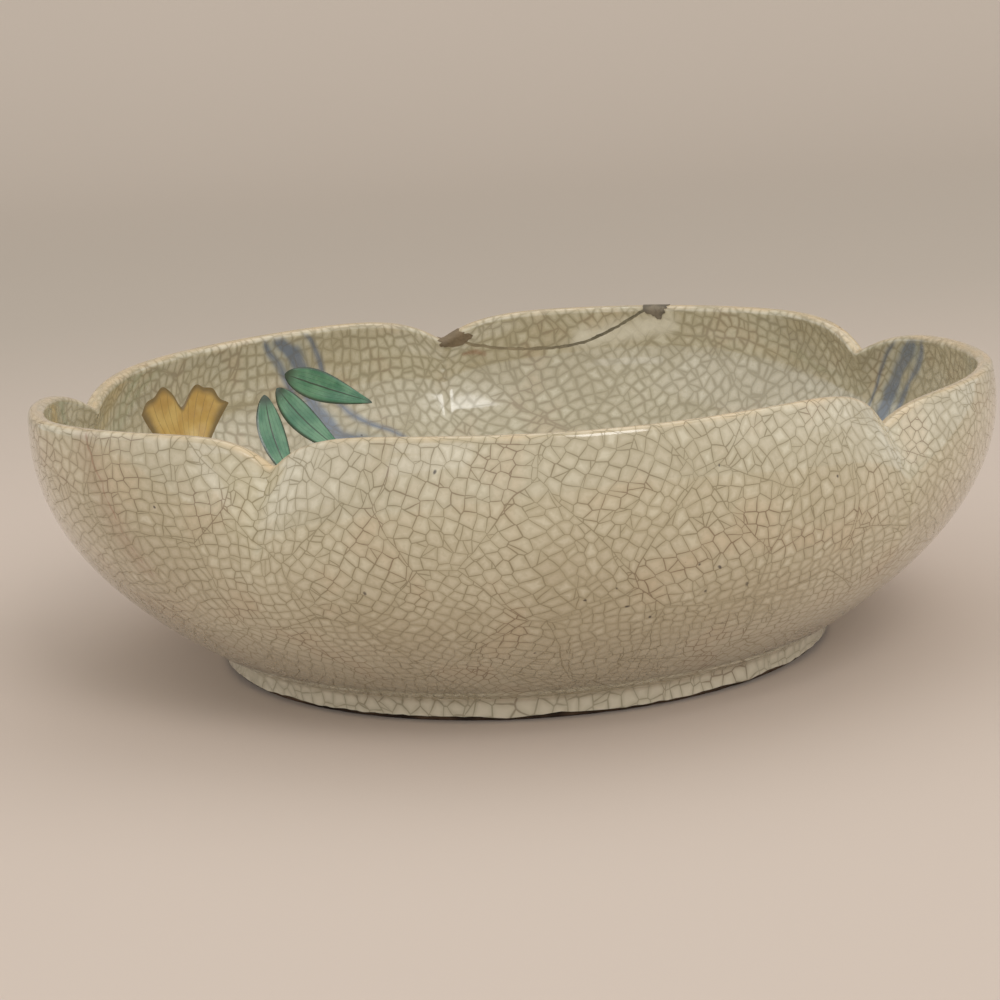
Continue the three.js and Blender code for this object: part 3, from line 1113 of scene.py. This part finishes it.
@dataclass(frozen=True)
class EnamelFinish:
    """Raised overglaze enamel with dark lines drawn under it. Its sizes are in metres."""

    name: str
    light: Colour
    deep: Colour
    line: Colour
    veins: float
    fan: bool
    pool_size: float = 0.0055
    shake: float = 0.12
    shake_size: float = 0.004
    swell_size: float = 0.003
    swell_height: float = 0.00025

    def material(self) -> bpy.types.Material:
        """Builds the enamel."""
        bench = Bench(self.name, specular_ior_level=0.5, coat_roughness=0.08)
        leaf = bench.add("UVMap", {"uv_map": "leaf"}, {})
        place = bench.add("TexCoord", {}, {}, "Object")
        along, across, _ = bench.parts(leaf)
        pool = bench.grain(place, self.pool_size, 3)
        shake = (bench.grain(place, self.shake_size, 2) - 0.5) * self.shake
        edge = (0.5 - abs(across)).least(1 - along)
        edge = edge if self.fan else edge.least(along * 0.6)
        outline = (edge + shake * 0.3).ramp(0.11, 0.0)
        vein_phase = (across + shake * 0.2) * self.veins
        vein = abs(vein_phase.maths("FRACT", vein_phase) - 0.5).ramp(0.44, 0.5) * 0.5
        rib = abs(across + shake * 0.3).ramp(0.04, 0.012) * (0.0 if self.fan else 0.85)
        base = bench.blend(pool.ramp(0.32, 0.68), self.deep, self.light)
        base = bench.blend(edge.ramp(0.22, 0.02) * 0.35, base, self.deep)
        drawn = outline.most(vein).most(rib)
        base = bench.blend(drawn.least(0.88), base, self.line)
        swell = bench.grain(place, self.swell_size, 2)
        normal = bench.bump(swell * 0.7 - drawn * 0.3, self.swell_height)
        rough, coat = 0.16 + pool * 0.16, 0.3 + pool * 0.3
        return bench.paint(base_color=base, roughness=rough, normal=normal, coat_weight=coat)


# Sub-assemblies.


@dataclass
class GlazeAndFoot:
    """The glaze skins, the foot and the finishes of the clay that they cover.

    Paces say how quickly unevenness changes round the bowl. The well's glaze has one run all over, that of
    a place deep inside the bowl, where the glaze has no marks.
    """

    form: BowlForm
    turner: Turner
    back_step: int = 4
    edge_wander: float = 0.45
    edge_paces: Pair = (6.0, 31.0)
    edge_fade: float = 3.0
    chip_depth: float = 0.7
    chip_reach: float = 2.4
    chip_paces: Pair = (17.0, 60.0)
    bevel_steps: int = 5
    sole_steps: int = 4
    well_rings: int = 5
    well_bend: float = 2.0
    well_bend_steps: int = 6
    well_run: float = -60.0
    pieces: dict[str, bpy.types.Object] = field(default_factory=dict)

    def skin(self, depth: float = 0.0) -> list[Station]:
        """Measures the skin, or a line that lies behind it.

        Args:
            depth: How far behind the skin the line lies.

        Returns:
            Its stations, from the foot's edge over the rim to the middle of the floor.
        """
        outside, lip, inside = self.form.outside_line(), self.form.lip_line(), self.form.inside_line()
        line = outside + lip + inside
        crest = len(outside) + len(lip) // 2
        runs = [0.0]
        for before, after in zip(line, line[1:]):
            runs.append(runs[-1] + (after - before).length)
        even_height = self.form.rim_height / 2
        spreads = spread_radii(line[crest:][::-1], even_height)[::-1]
        placed = moved_left(line, depth)
        stations = []
        for i, point in enumerate(placed):
            stations.append(Station(point, runs[crest] - runs[i], spreads[max(i - crest, 0)]))
        stations[-1].point.x = 0
        return stations

    def shell(self) -> list[Station]:
        """Returns the closed profile of the glaze: its skin, and its back with fewer points."""
        back = self.skin(self.form.glaze_thickness)
        thinned = back[:1] + back[self.back_step:-1:self.back_step] + back[-1:]
        return self.skin() + thinned[::-1]

    def wandering(self, point: Vector, azimuth: float) -> Vector:
        """Lets the glaze end unevenly above the foot's edge."""
        low = max(1 - (point.y - self.form.bare_foot) / self.form.foot_height * self.edge_fade, 0)
        turn = math.radians(azimuth)
        ring = Vector((math.cos(turn), math.sin(turn), 0))
        slow, quick = (noise.noise(ring * pace) for pace in self.edge_paces)
        return Vector((point.x, point.y + low * self.edge_wander * (0.35 + slow + 0.6 * quick)))

    def chipped(self, point: Vector, azimuth: float) -> Vector:
        """Wears the foot's outer edge unevenly."""
        turn = math.radians(azimuth)
        ring = Vector((math.cos(turn), math.sin(turn), 3))
        slow, quick = (noise.noise(ring * pace) for pace in self.chip_paces)
        wear = max(slow - 0.25, 0) + 0.25 * max(quick, 0)
        at_edge = point.x > self.form.foot_radius - self.chip_reach and point.y < self.form.bare_foot
        return Vector((point.x - self.chip_depth * wear, point.y)) if at_edge else point

    def foot_profile(self) -> list[Station]:
        """Returns the closed profile of the foot ring."""
        form = self.form
        outer = form.foot_radius - form.glaze_thickness - form.clearance
        inner = outer - form.foot_width
        bevel = form.foot_bevel
        sole_start, sole_end = Vector((inner + bevel, 0)), Vector((outer - bevel, 0))
        outer_edge = bent(sole_end, Vector((outer, 0)), Vector((outer, bevel)), self.bevel_steps)
        inner_edge = bent(Vector((inner, bevel)), Vector((inner, 0)), sole_start, self.bevel_steps)
        tops = [Vector((outer, form.foot_height)), Vector((inner, form.foot_height))]
        middles = [sole_start.lerp(sole_end, i / self.sole_steps) for i in range(1, self.sole_steps)]
        return [Station(point) for point in inner_edge + middles + outer_edge + tops]

    def well_profile(self) -> list[Station]:
        """Returns the closed profile of the glaze in the foot's well."""
        form = self.form
        outer = form.foot_radius - form.glaze_thickness - form.foot_width - 2 * form.clearance
        inner = outer - form.glaze_thickness
        top = form.foot_height - form.clearance
        under = top - form.glaze_thickness
        rings = [Vector((inner * i / self.well_rings, under)) for i in range(self.well_rings)]
        bend_start = Vector((inner - self.well_bend, under))
        bend_end = Vector((inner, under - self.well_bend))
        corner = bent(bend_start, Vector((inner, under)), bend_end, self.well_bend_steps)
        rest = ((inner, form.bare_foot), (outer, form.bare_foot), (outer, top), (0, top))
        line = rings + corner + [Vector(place) for place in rest]
        return [Station(point, self.well_run, point.x) for point in line]

    def build(self) -> None:
        """Turns the skins and the foot."""
        self.pieces["glaze"] = self.turner.turned("glaze_skin", self.shell(), False, self.wandering)
        self.pieces["foot"] = self.turner.turned("foot_ring_worn", self.foot_profile(), True, self.chipped)
        self.pieces["well"] = self.turner.turned("foot_well_skin", self.well_profile(), False)

    def dress(self, glaze: bpy.types.Material) -> None:
        """Dresses the foot, the well and the packed clay pieces.

        Args:
            glaze: Not used.
        """
        clay = ClayFinish("body_clay", colour(150, 130, 104), colour(118, 98, 76)).material()
        foot_clay = ClayFinish("bare_foot_clay", colour(92, 72, 56), colour(48, 36, 29)).material()
        well_glaze = GlazeFinish(name="well_glaze", painting=None).material()
        finished(self.pieces["foot"], foot_clay, "foot_clay", "foot_ring")
        finished(self.pieces["well"], well_glaze, "glaze", "foot_well_glaze")
        for node in ("thrown_body", "rim_shard"):
            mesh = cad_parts[node].data
            mesh.materials.clear()
            mesh.materials.append(clay)
            LOG.info("%s: packed solid with the clay finish", node)


@dataclass(frozen=True)
class Dab:
    """A dab of filler: the azimuth and the height of its middle, its width, its height and its tilt."""

    name: str
    node: str
    azimuth: float
    middle: float
    width: float
    height: float
    tilt: float
    seed: float


@dataclass
class MendedBreak:
    """The broken piece of the rim, stuck back: its glaze, the adhesive and the two dabs of filler.

    The places of the break line are shares of the belly's radius across and of the rim's height up.
    """

    form: BowlForm
    turner: Turner
    skins: GlazeAndFoot
    shard_azimuth: float = 174.0
    places: tuple[Pair, ...] = (
        (-0.289, 1.026), (-0.199, 0.922), (-0.08, 0.833), (0.06, 0.821), (0.179, 0.855), (0.279, 0.931),
    )
    steps_between: int = 22
    half_width: float = 0.36
    raggedness: float = 0.3
    ragged_paces: Pair = (0.21, 0.63)
    overlap: float = 0.12
    sunk: float = 0.07
    proud: float = 0.12
    block_reach: float = 1.3
    dab_depth: float = 6.0
    dab_steps: int = 5
    dab_unevenness: float = 0.4
    dab_paces: Pair = (1.6, 4.1)
    dabs: tuple[Dab, ...] = (
        Dab("crest_filler", "repair_fill_crest", 157.3, 57.4, 7.4, 6.2, -10, 3),
        Dab("notch_filler", "repair_fill_notch", 188.3, 51.6, 9.0, 3.8, 8, 8),
    )

    def break_points(self) -> list[Vector]:
        """Returns the points of the break line, across and up, on a smooth curve through its places."""
        radius, height = self.form.belly_radius, self.form.rim_height
        knots = [Vector((across * radius, up * height)) for across, up in self.places]
        points = []
        for i in range(len(knots) - 1):
            before, start, end = knots[max(i - 1, 0)], knots[i], knots[i + 1]
            after = knots[min(i + 2, len(knots) - 1)]
            for step in range(self.steps_between):
                t = step / self.steps_between
                pull_start, pull_end = (end - before) / 2, (after - start) / 2
                point = start * (2 * t ** 3 - 3 * t ** 2 + 1) + pull_start * (t ** 3 - 2 * t ** 2 + t)
                points.append(point + end * (3 * t ** 2 - 2 * t ** 3) + pull_end * (t ** 3 - t ** 2))
        return [*points, knots[-1]]

    def ragged(self, distance: float, seed: float) -> list[Vector]:
        """Moves the break line to one side, unevenly.

        Args:
            distance: How far it moves, to its left where above 0.
            seed: Which unevenness it gets.

        Returns:
            The moved points.
        """
        middle = self.break_points()
        moved = moved_left(middle, distance)
        slow, quick = self.ragged_paces
        for i, (point, before) in enumerate(zip(moved, middle)):
            away = (point - before).normalized()
            grain = noise.noise(Vector((i * slow, seed, 0))) + 0.6 * noise.noise(Vector((i * quick, seed, 5)))
            point += away * (self.raggedness * grain)
        return moved

    def block(self, low: Sequence[Vector], high: Sequence[Vector]) -> bpy.types.Object:
        """Makes a cutting block that reaches out through the wall.

        Args:
            low: Its lower line, across and up.
            high: Its upper line.

        Returns:
            The block, in millimetres.
        """
        shape = bmesh.new()
        reach = self.block_reach * self.form.belly_radius
        outline = [*low, *high[::-1]]
        face = shape.faces.new([shape.verts.new((p.x, -self.form.floor_radius, p.y)) for p in outline])
        grown = bmesh.ops.extrude_face_region(shape, geom=[face])
        bmesh.ops.translate(shape, verts=verts_of(grown), vec=(0, self.form.floor_radius - reach, 0))
        rotate(shape, self.shard_azimuth, "Z")
        bmesh.ops.recalc_face_normals(shape, faces=shape.faces)
        return piece_from(shape, "cutting_block")

    def ball(self, dab: Dab) -> bpy.types.Object:
        """Makes the uneven flattened ball that a dab is cut with, in millimetres."""
        shape = bmesh.new()
        bmesh.ops.create_icosphere(shape, subdivisions=self.dab_steps, radius=1)
        slow, quick = self.dab_paces
        shift = Vector((dab.seed, 0, 0))
        for vert in shape.verts:
            grain = noise.noise(vert.co * slow + shift) + 0.5 * noise.noise(vert.co * quick)
            vert.co *= 1 + self.dab_unevenness * grain
        bmesh.ops.scale(shape, vec=(dab.width / 2, self.dab_depth, dab.height / 2), verts=shape.verts)
        rotate(shape, dab.tilt, "Y")
        bmesh.ops.translate(shape, vec=(0, -self.form.rim_at(dab.azimuth)[0], dab.middle), verts=shape.verts)
        rotate(shape, dab.azimuth, "Z")
        return piece_from(shape, "filler_ball")

    def whole(self, name: str, depth: float) -> bpy.types.Object:
        """Turns everything that lies behind the skin by a depth.

        Args:
            name: The name of the piece.
            depth: The depth, below 0 for a shape that stands proud of the skin.

        Returns:
            The closed shape.
        """
        bottom = Station(Vector((0, self.form.bare_foot)))
        return self.turner.turned(name, [bottom, *self.skins.skin(depth)], False)

    def build_and_dress(self, glaze: bpy.types.Material) -> None:
        """Parts the glaze at the break, and makes the adhesive and the filler.

        Args:
            glaze: The glaze's finish.
        """
        line = self.break_points()
        top = [Vector((line[i].x, 2 * self.form.rim_height)) for i in (0, -1)]
        width = self.half_width + self.raggedness + self.overlap
        above_break = self.block(self.ragged(-self.half_width, 1), top)
        above_seam = self.block(self.ragged(self.half_width, 2), top)
        band = self.block(moved_left(line, -width), moved_left(line, width))
        skin = self.skins.pieces["glaze"]
        shard_skin = added("shard_glaze_skin", skin.data.copy())
        cut(skin, above_break, Cut.AWAY)
        cut(shard_skin, above_seam, Cut.WITHIN)
        seam = self.whole("break_adhesive", self.sunk)
        cut(seam, band, Cut.WITHIN)
        adhesive = MendFinish(
            "set_adhesive", colour(134, 125, 102), colour(106, 98, 80), colour(158, 142, 112)).material()
        filler = MendFinish(
            "dark_filler", colour(130, 118, 100), colour(100, 91, 78), colour(134, 114, 88)).material()
        finished(skin, glaze, "glaze", "glaze_coat")
        finished(shard_skin, glaze, "glaze", "rim_shard_glaze")
        finished(seam, adhesive, "adhesive", "repair_seam")
        tools = [above_break, above_seam, band]
        for dab in self.dabs:
            piece = self.whole(dab.name, -self.proud)
            ball = self.ball(dab)
            cut(piece, ball, Cut.WITHIN)
            finished(piece, filler, "filler", dab.node)
            tools.append(ball)
        for tool in tools:
            bpy.data.objects.remove(tool)


@dataclass(frozen=True)
class Patch:
    """Where an enamel patch lies: azimuth, way down from the rim's edge as a share of its height, heading."""

    azimuth: float
    down: float
    heading: float


@dataclass
class Enamels:
    """The raised enamel patches inside: ginkgo fans and sprays of bamboo leaves."""

    form: BowlForm
    thickness: float = 0.35
    sunk: float = 0.12
    leaf_length: float = 25.0
    leaf_width: float = 7.6
    leaf_stalk: float = 7.0
    leaf_skew: float = 0.75
    leaf_fullness: float = 0.9
    leaf_steps: tuple[int, int] = (60, 20)
    fan_length: float = 24.0
    fan_spread: float = 86.0
    fan_stalk: float = 1.5
    fan_cleft_depth: float = 0.25
    fan_cleft_sharpness: float = 9.0
    fan_ripple: float = 0.018
    fan_ripple_pace: float = 34.0
    fan_steps: tuple[int, int] = (24, 60)
    edge_share: float = 0.12
    edge_thinness: float = 0.05
    leaves: tuple[Patch, ...] = (
        Patch(220, 0.12, 88), Patch(220, 0.12, 122), Patch(220, 0.12, 156),
        Patch(64, 0.24, 52), Patch(64, 0.24, 88),
    )
    fans: tuple[Patch, ...] = (Patch(238, 0.52, -96), Patch(22, 0.62, -70))

    def placed(self, patch: Patch, flat: Vector, lift: float, run: Sequence[Vector]) -> Vector:
        """Puts a point of a patch on the inside of the bowl.

        Args:
            patch: The patch.
            flat: The point's place, turned to the patch's heading.
            lift: How far it stands off the glaze.
            run: The inside's points.

        Returns:
            The point in millimetres.
        """
        left = patch.down * self.form.rim_height + flat.y - self.form.lip_thickness / 2
        index = 0
        while index < len(run) - 3 and left > (run[index + 1] - run[index]).length:
            left -= (run[index + 1] - run[index]).length
            index += 1
        way = run[index + 1] - run[index]
        off = Vector((way.y, -way.x)).normalized()
        point = run[index] + way.normalized() * left + off * lift
        azimuth = patch.azimuth + math.degrees(flat.x / point.x)
        return self.form.petalled(point.x, point.y, azimuth)

    def leaf_outline(self, along: float, across: float) -> Vector:
        """Returns the place of a leaf's point, widest a third of the way from its stalk."""
        swell = math.sin(math.pi * along ** self.leaf_skew) ** self.leaf_fullness
        width = self.leaf_width * swell + self.form.clearance
        return Vector((self.leaf_stalk + along * self.leaf_length, across * width))

    def fan_outline(self, along: float, across: float) -> Vector:
        """Returns the place of a fan's point, with a shallow cleft in its outer edge."""
        turn = math.radians(self.fan_spread * across)
        cleft = 1 - self.fan_cleft_depth * math.exp(-((across * self.fan_cleft_sharpness) ** 2))
        ripple = 1 + self.fan_ripple * math.sin(across * self.fan_ripple_pace) * along
        reach = lerp(self.fan_stalk, self.fan_length * cleft * ripple, along)
        return Vector((reach * math.cos(turn), reach * math.sin(turn)))

    def patch_piece(self, name: str, patch: Patch, outline: Callable[[float, float], Vector],
                    steps: tuple[int, int]) -> bpy.types.Object:
        """Makes one patch: a thin pad whose top swells and whose edge runs out.

        Args:
            name: The name of the piece.
            patch: Where it lies.
            outline: Gives the place of each share along and across.
            steps: The number of steps along and across.

        Returns:
            The patch, in millimetres.
        """
        shape = bmesh.new()
        bmesh.ops.create_grid(shape, x_segments=steps[0], y_segments=steps[1], size=0.5)
        grown = bmesh.ops.extrude_face_region(shape, geom=list(shape.faces))
        under = set(verts_of(grown))
        leaf = shape.loops.layers.uv.new("leaf")
        turn = Matrix.Rotation(math.radians(patch.heading), 2)
        run = self.form.inside_line()
        shares = {}
        for vert in shape.verts:
            along, across = vert.co.x + 0.5, vert.co.y
            shares[vert] = (along, across)
            edge = min(along, 1 - along, 0.5 - abs(across))
            swell = math.sqrt(min(edge / self.edge_share, 1))
            lift = -self.sunk if vert in under else self.thickness * lerp(self.edge_thinness, 1, swell)
            vert.co = self.placed(patch, turn @ outline(along, across), lift, run)
        for face in shape.faces:
            for loop in face.loops:
                loop[leaf].uv = shares[loop.vert]
        bmesh.ops.recalc_face_normals(shape, faces=shape.faces)
        return piece_from(shape, name)

    def build_and_dress(self) -> None:
        """Makes the patches."""
        green = EnamelFinish(
            "green_enamel", colour(112, 156, 122), colour(70, 122, 92), colour(56, 62, 50),
            veins=7, fan=False).material()
        yellow = EnamelFinish(
            "yellow_enamel", colour(208, 174, 100), colour(188, 148, 74), colour(112, 92, 56),
            veins=11, fan=True).material()
        for i, patch in enumerate(self.fans, 1):
            piece = self.patch_piece(f"ginkgo_fan_{i}", patch, self.fan_outline, self.fan_steps)
            finished(piece, yellow, "yellow_enamel", f"ginkgo_enamel_{i}")
        for i, patch in enumerate(self.leaves, 1):
            piece = self.patch_piece(f"bamboo_leaf_{i}", patch, self.leaf_outline, self.leaf_steps)
            finished(piece, green, "green_enamel", f"bamboo_enamel_{i}")


@dataclass(frozen=True)
class Lamp:
    """A soft lamp that faces the bowl: its place seen from there, its width and height, and its watts."""

    name: str
    azimuth: float
    elevation: float
    distance: float
    size: Pair
    power: float


@dataclass(frozen=True)
class Studio:
    """The pale sweep of paper, the soft lamps and the camera, in metres."""

    elevation: float = 12.03
    roll: float = -3.36
    target: tuple[float, float, float] = (-0.00408, 0.0, 0.0296)
    distance: float = 0.53
    lens: float = 89.28
    sensor: float = 36.0
    clip_start: float = 0.05
    sweep_front: float = -1.6
    sweep_back: float = 1.1
    sweep_bend: float = 0.9
    sweep_height: float = 2.2
    sweep_width: float = 4.0
    sweep_steps: int = 24
    paper: Colour = colour(206, 190, 178)
    # Painted shade behind the bowl, and painted light at the back of the sweep.
    shaded_paper: Colour = colour(185, 173, 161)
    lit_back_paper: Colour = colour(206, 192, 180)
    shade_from: Pair = (0.05, 0.6)
    back_light_from: Pair = (0.7, 1.9)
    paper_cloud_size: float = 0.6
    air: Colour = (0.985, 0.995, 0.965, 1.0)
    air_strength: float = 0.75
    lamps: tuple[Lamp, ...] = (
        Lamp("ceiling_panel", 150, 66, 1.9, (1.8, 1.4), 3.9),
        Lamp("window", 23.5, 40.5, 1.9, (0.76, 0.96), 9.6),
        Lamp("small_window", -32, 19.5, 1.9, (0.75, 0.24), 0.6),
        Lamp("right_panel", 80, 30, 2.0, (2.0, 1.4), 3.2),
        Lamp("left_panel", -80, 30, 2.0, (2.0, 1.4), 4.4),
    )

    def sweep(self) -> bpy.types.Object:
        """Makes the floor and the backdrop as one bent sheet of paper."""
        shape = bmesh.new()
        wall = self.sweep_back + self.sweep_bend
        line = [Vector((self.sweep_front, 0))]
        line += bent(Vector((self.sweep_back, 0)), Vector((wall, 0)), Vector((wall, self.sweep_bend)),
                     self.sweep_steps)
        line.append(Vector((wall, self.sweep_height)))
        verts = [shape.verts.new((-self.sweep_width / 2, point.x, point.y)) for point in line]
        edges = [shape.edges.new(pair) for pair in zip(verts, verts[1:])]
        grown = bmesh.ops.extrude_edge_only(shape, edges=edges)
        bmesh.ops.translate(shape, verts=verts_of(grown), vec=(self.sweep_width, 0, 0))
        bmesh.ops.recalc_face_normals(shape, faces=shape.faces)
        if shape.faces[0].normal.z < 0:
            bmesh.ops.reverse_faces(shape, faces=shape.faces)
        for face in shape.faces:
            face.smooth = True
        piece = piece_from(shape, "paper_sweep")
        piece.data.materials.append(self.paper_material())
        return piece

    def paper_material(self) -> bpy.types.Material:
        """Builds the paper, with painted shade that darkens it behind the bowl and painted light that makes
        it pale again at the back.
        """
        bench = Bench("paper", roughness=0.95, specular_ior_level=0.1)
        place = bench.add("TexCoord", {}, {}, "Object")
        depth = bench.parts(place)[1]
        # Painted shade behind the bowl, then painted light at the back.
        tone = bench.blend(depth.ramp(*self.shade_from), self.paper, self.shaded_paper)
        tone = bench.blend(depth.ramp(*self.back_light_from), tone, self.lit_back_paper)
        tone = bench.blend(bench.grain(place, self.paper_cloud_size) * 0.1, tone, self.shaded_paper)
        return bench.paint(base_color=tone)

    def hang(self, lamp: Lamp) -> None:
        """Hangs a lamp."""
        elevation = math.radians(lamp.elevation)
        back = Vector((*around(lamp.azimuth, math.cos(elevation)), math.sin(elevation)))
        light = bpy.data.lights.new(lamp.name, "AREA")
        light.shape = "RECTANGLE"
        light.size, light.size_y = lamp.size
        light.energy = lamp.power
        hung = added(lamp.name, light)
        hung.location = Vector(self.target) + back * lamp.distance
        hung.rotation_mode = "QUATERNION"
        hung.rotation_quaternion = (-back).to_track_quat("-Z", "Y")

    def light(self) -> None:
        """Lights the scene softly."""
        world = bpy.data.worlds.new("soft_room")
        world.use_nodes = True
        background = world.node_tree.nodes["Background"]
        background.inputs["Color"].default_value = self.air
        background.inputs["Strength"].default_value = self.air_strength
        bpy.context.scene.world = world
        for lamp in self.lamps:
            self.hang(lamp)

    def camera(self) -> None:
        """Sets the camera at the photograph's angle."""
        elevation, roll = math.radians(self.elevation), math.radians(self.roll)
        back = Vector((0, -math.cos(elevation), math.sin(elevation)))
        upright = Vector((0, math.sin(elevation), math.cos(elevation)))
        right = Vector((math.cos(roll), 0, 0)) + upright * math.sin(roll)
        up = Vector((-math.sin(roll), 0, 0)) + upright * math.cos(roll)
        data = bpy.data.cameras.new("camera")
        data.lens = self.lens
        data.sensor_width = self.sensor
        data.clip_start = self.clip_start
        camera = added("camera", data)
        place = Matrix.Translation(Vector(self.target) + back * self.distance)
        camera.matrix_world = place @ Matrix((right, up, back)).transposed().to_4x4()
        bpy.context.scene.camera = camera

    def build(self) -> None:
        """Sets up the sweep, the lamps and the camera."""
        self.sweep()
        self.light()
        self.camera()
        bpy.context.scene.view_settings.view_transform = "Standard"


def main() -> None:
    """Builds and dresses the bowl's pieces, then sets up the studio."""
    logging.basicConfig(level=logging.INFO, format="%(name)s: %(message)s")
    form = BowlForm()
    turner = Turner(form)
    glaze = GlazeFinish().material()
    skins = GlazeAndFoot(form, turner)
    skins.build()
    skins.dress(glaze)
    MendedBreak(form, turner, skins).build_and_dress(glaze)
    Enamels(form).build_and_dress()
    Studio().build()


if __name__ == "__main__":
    main()
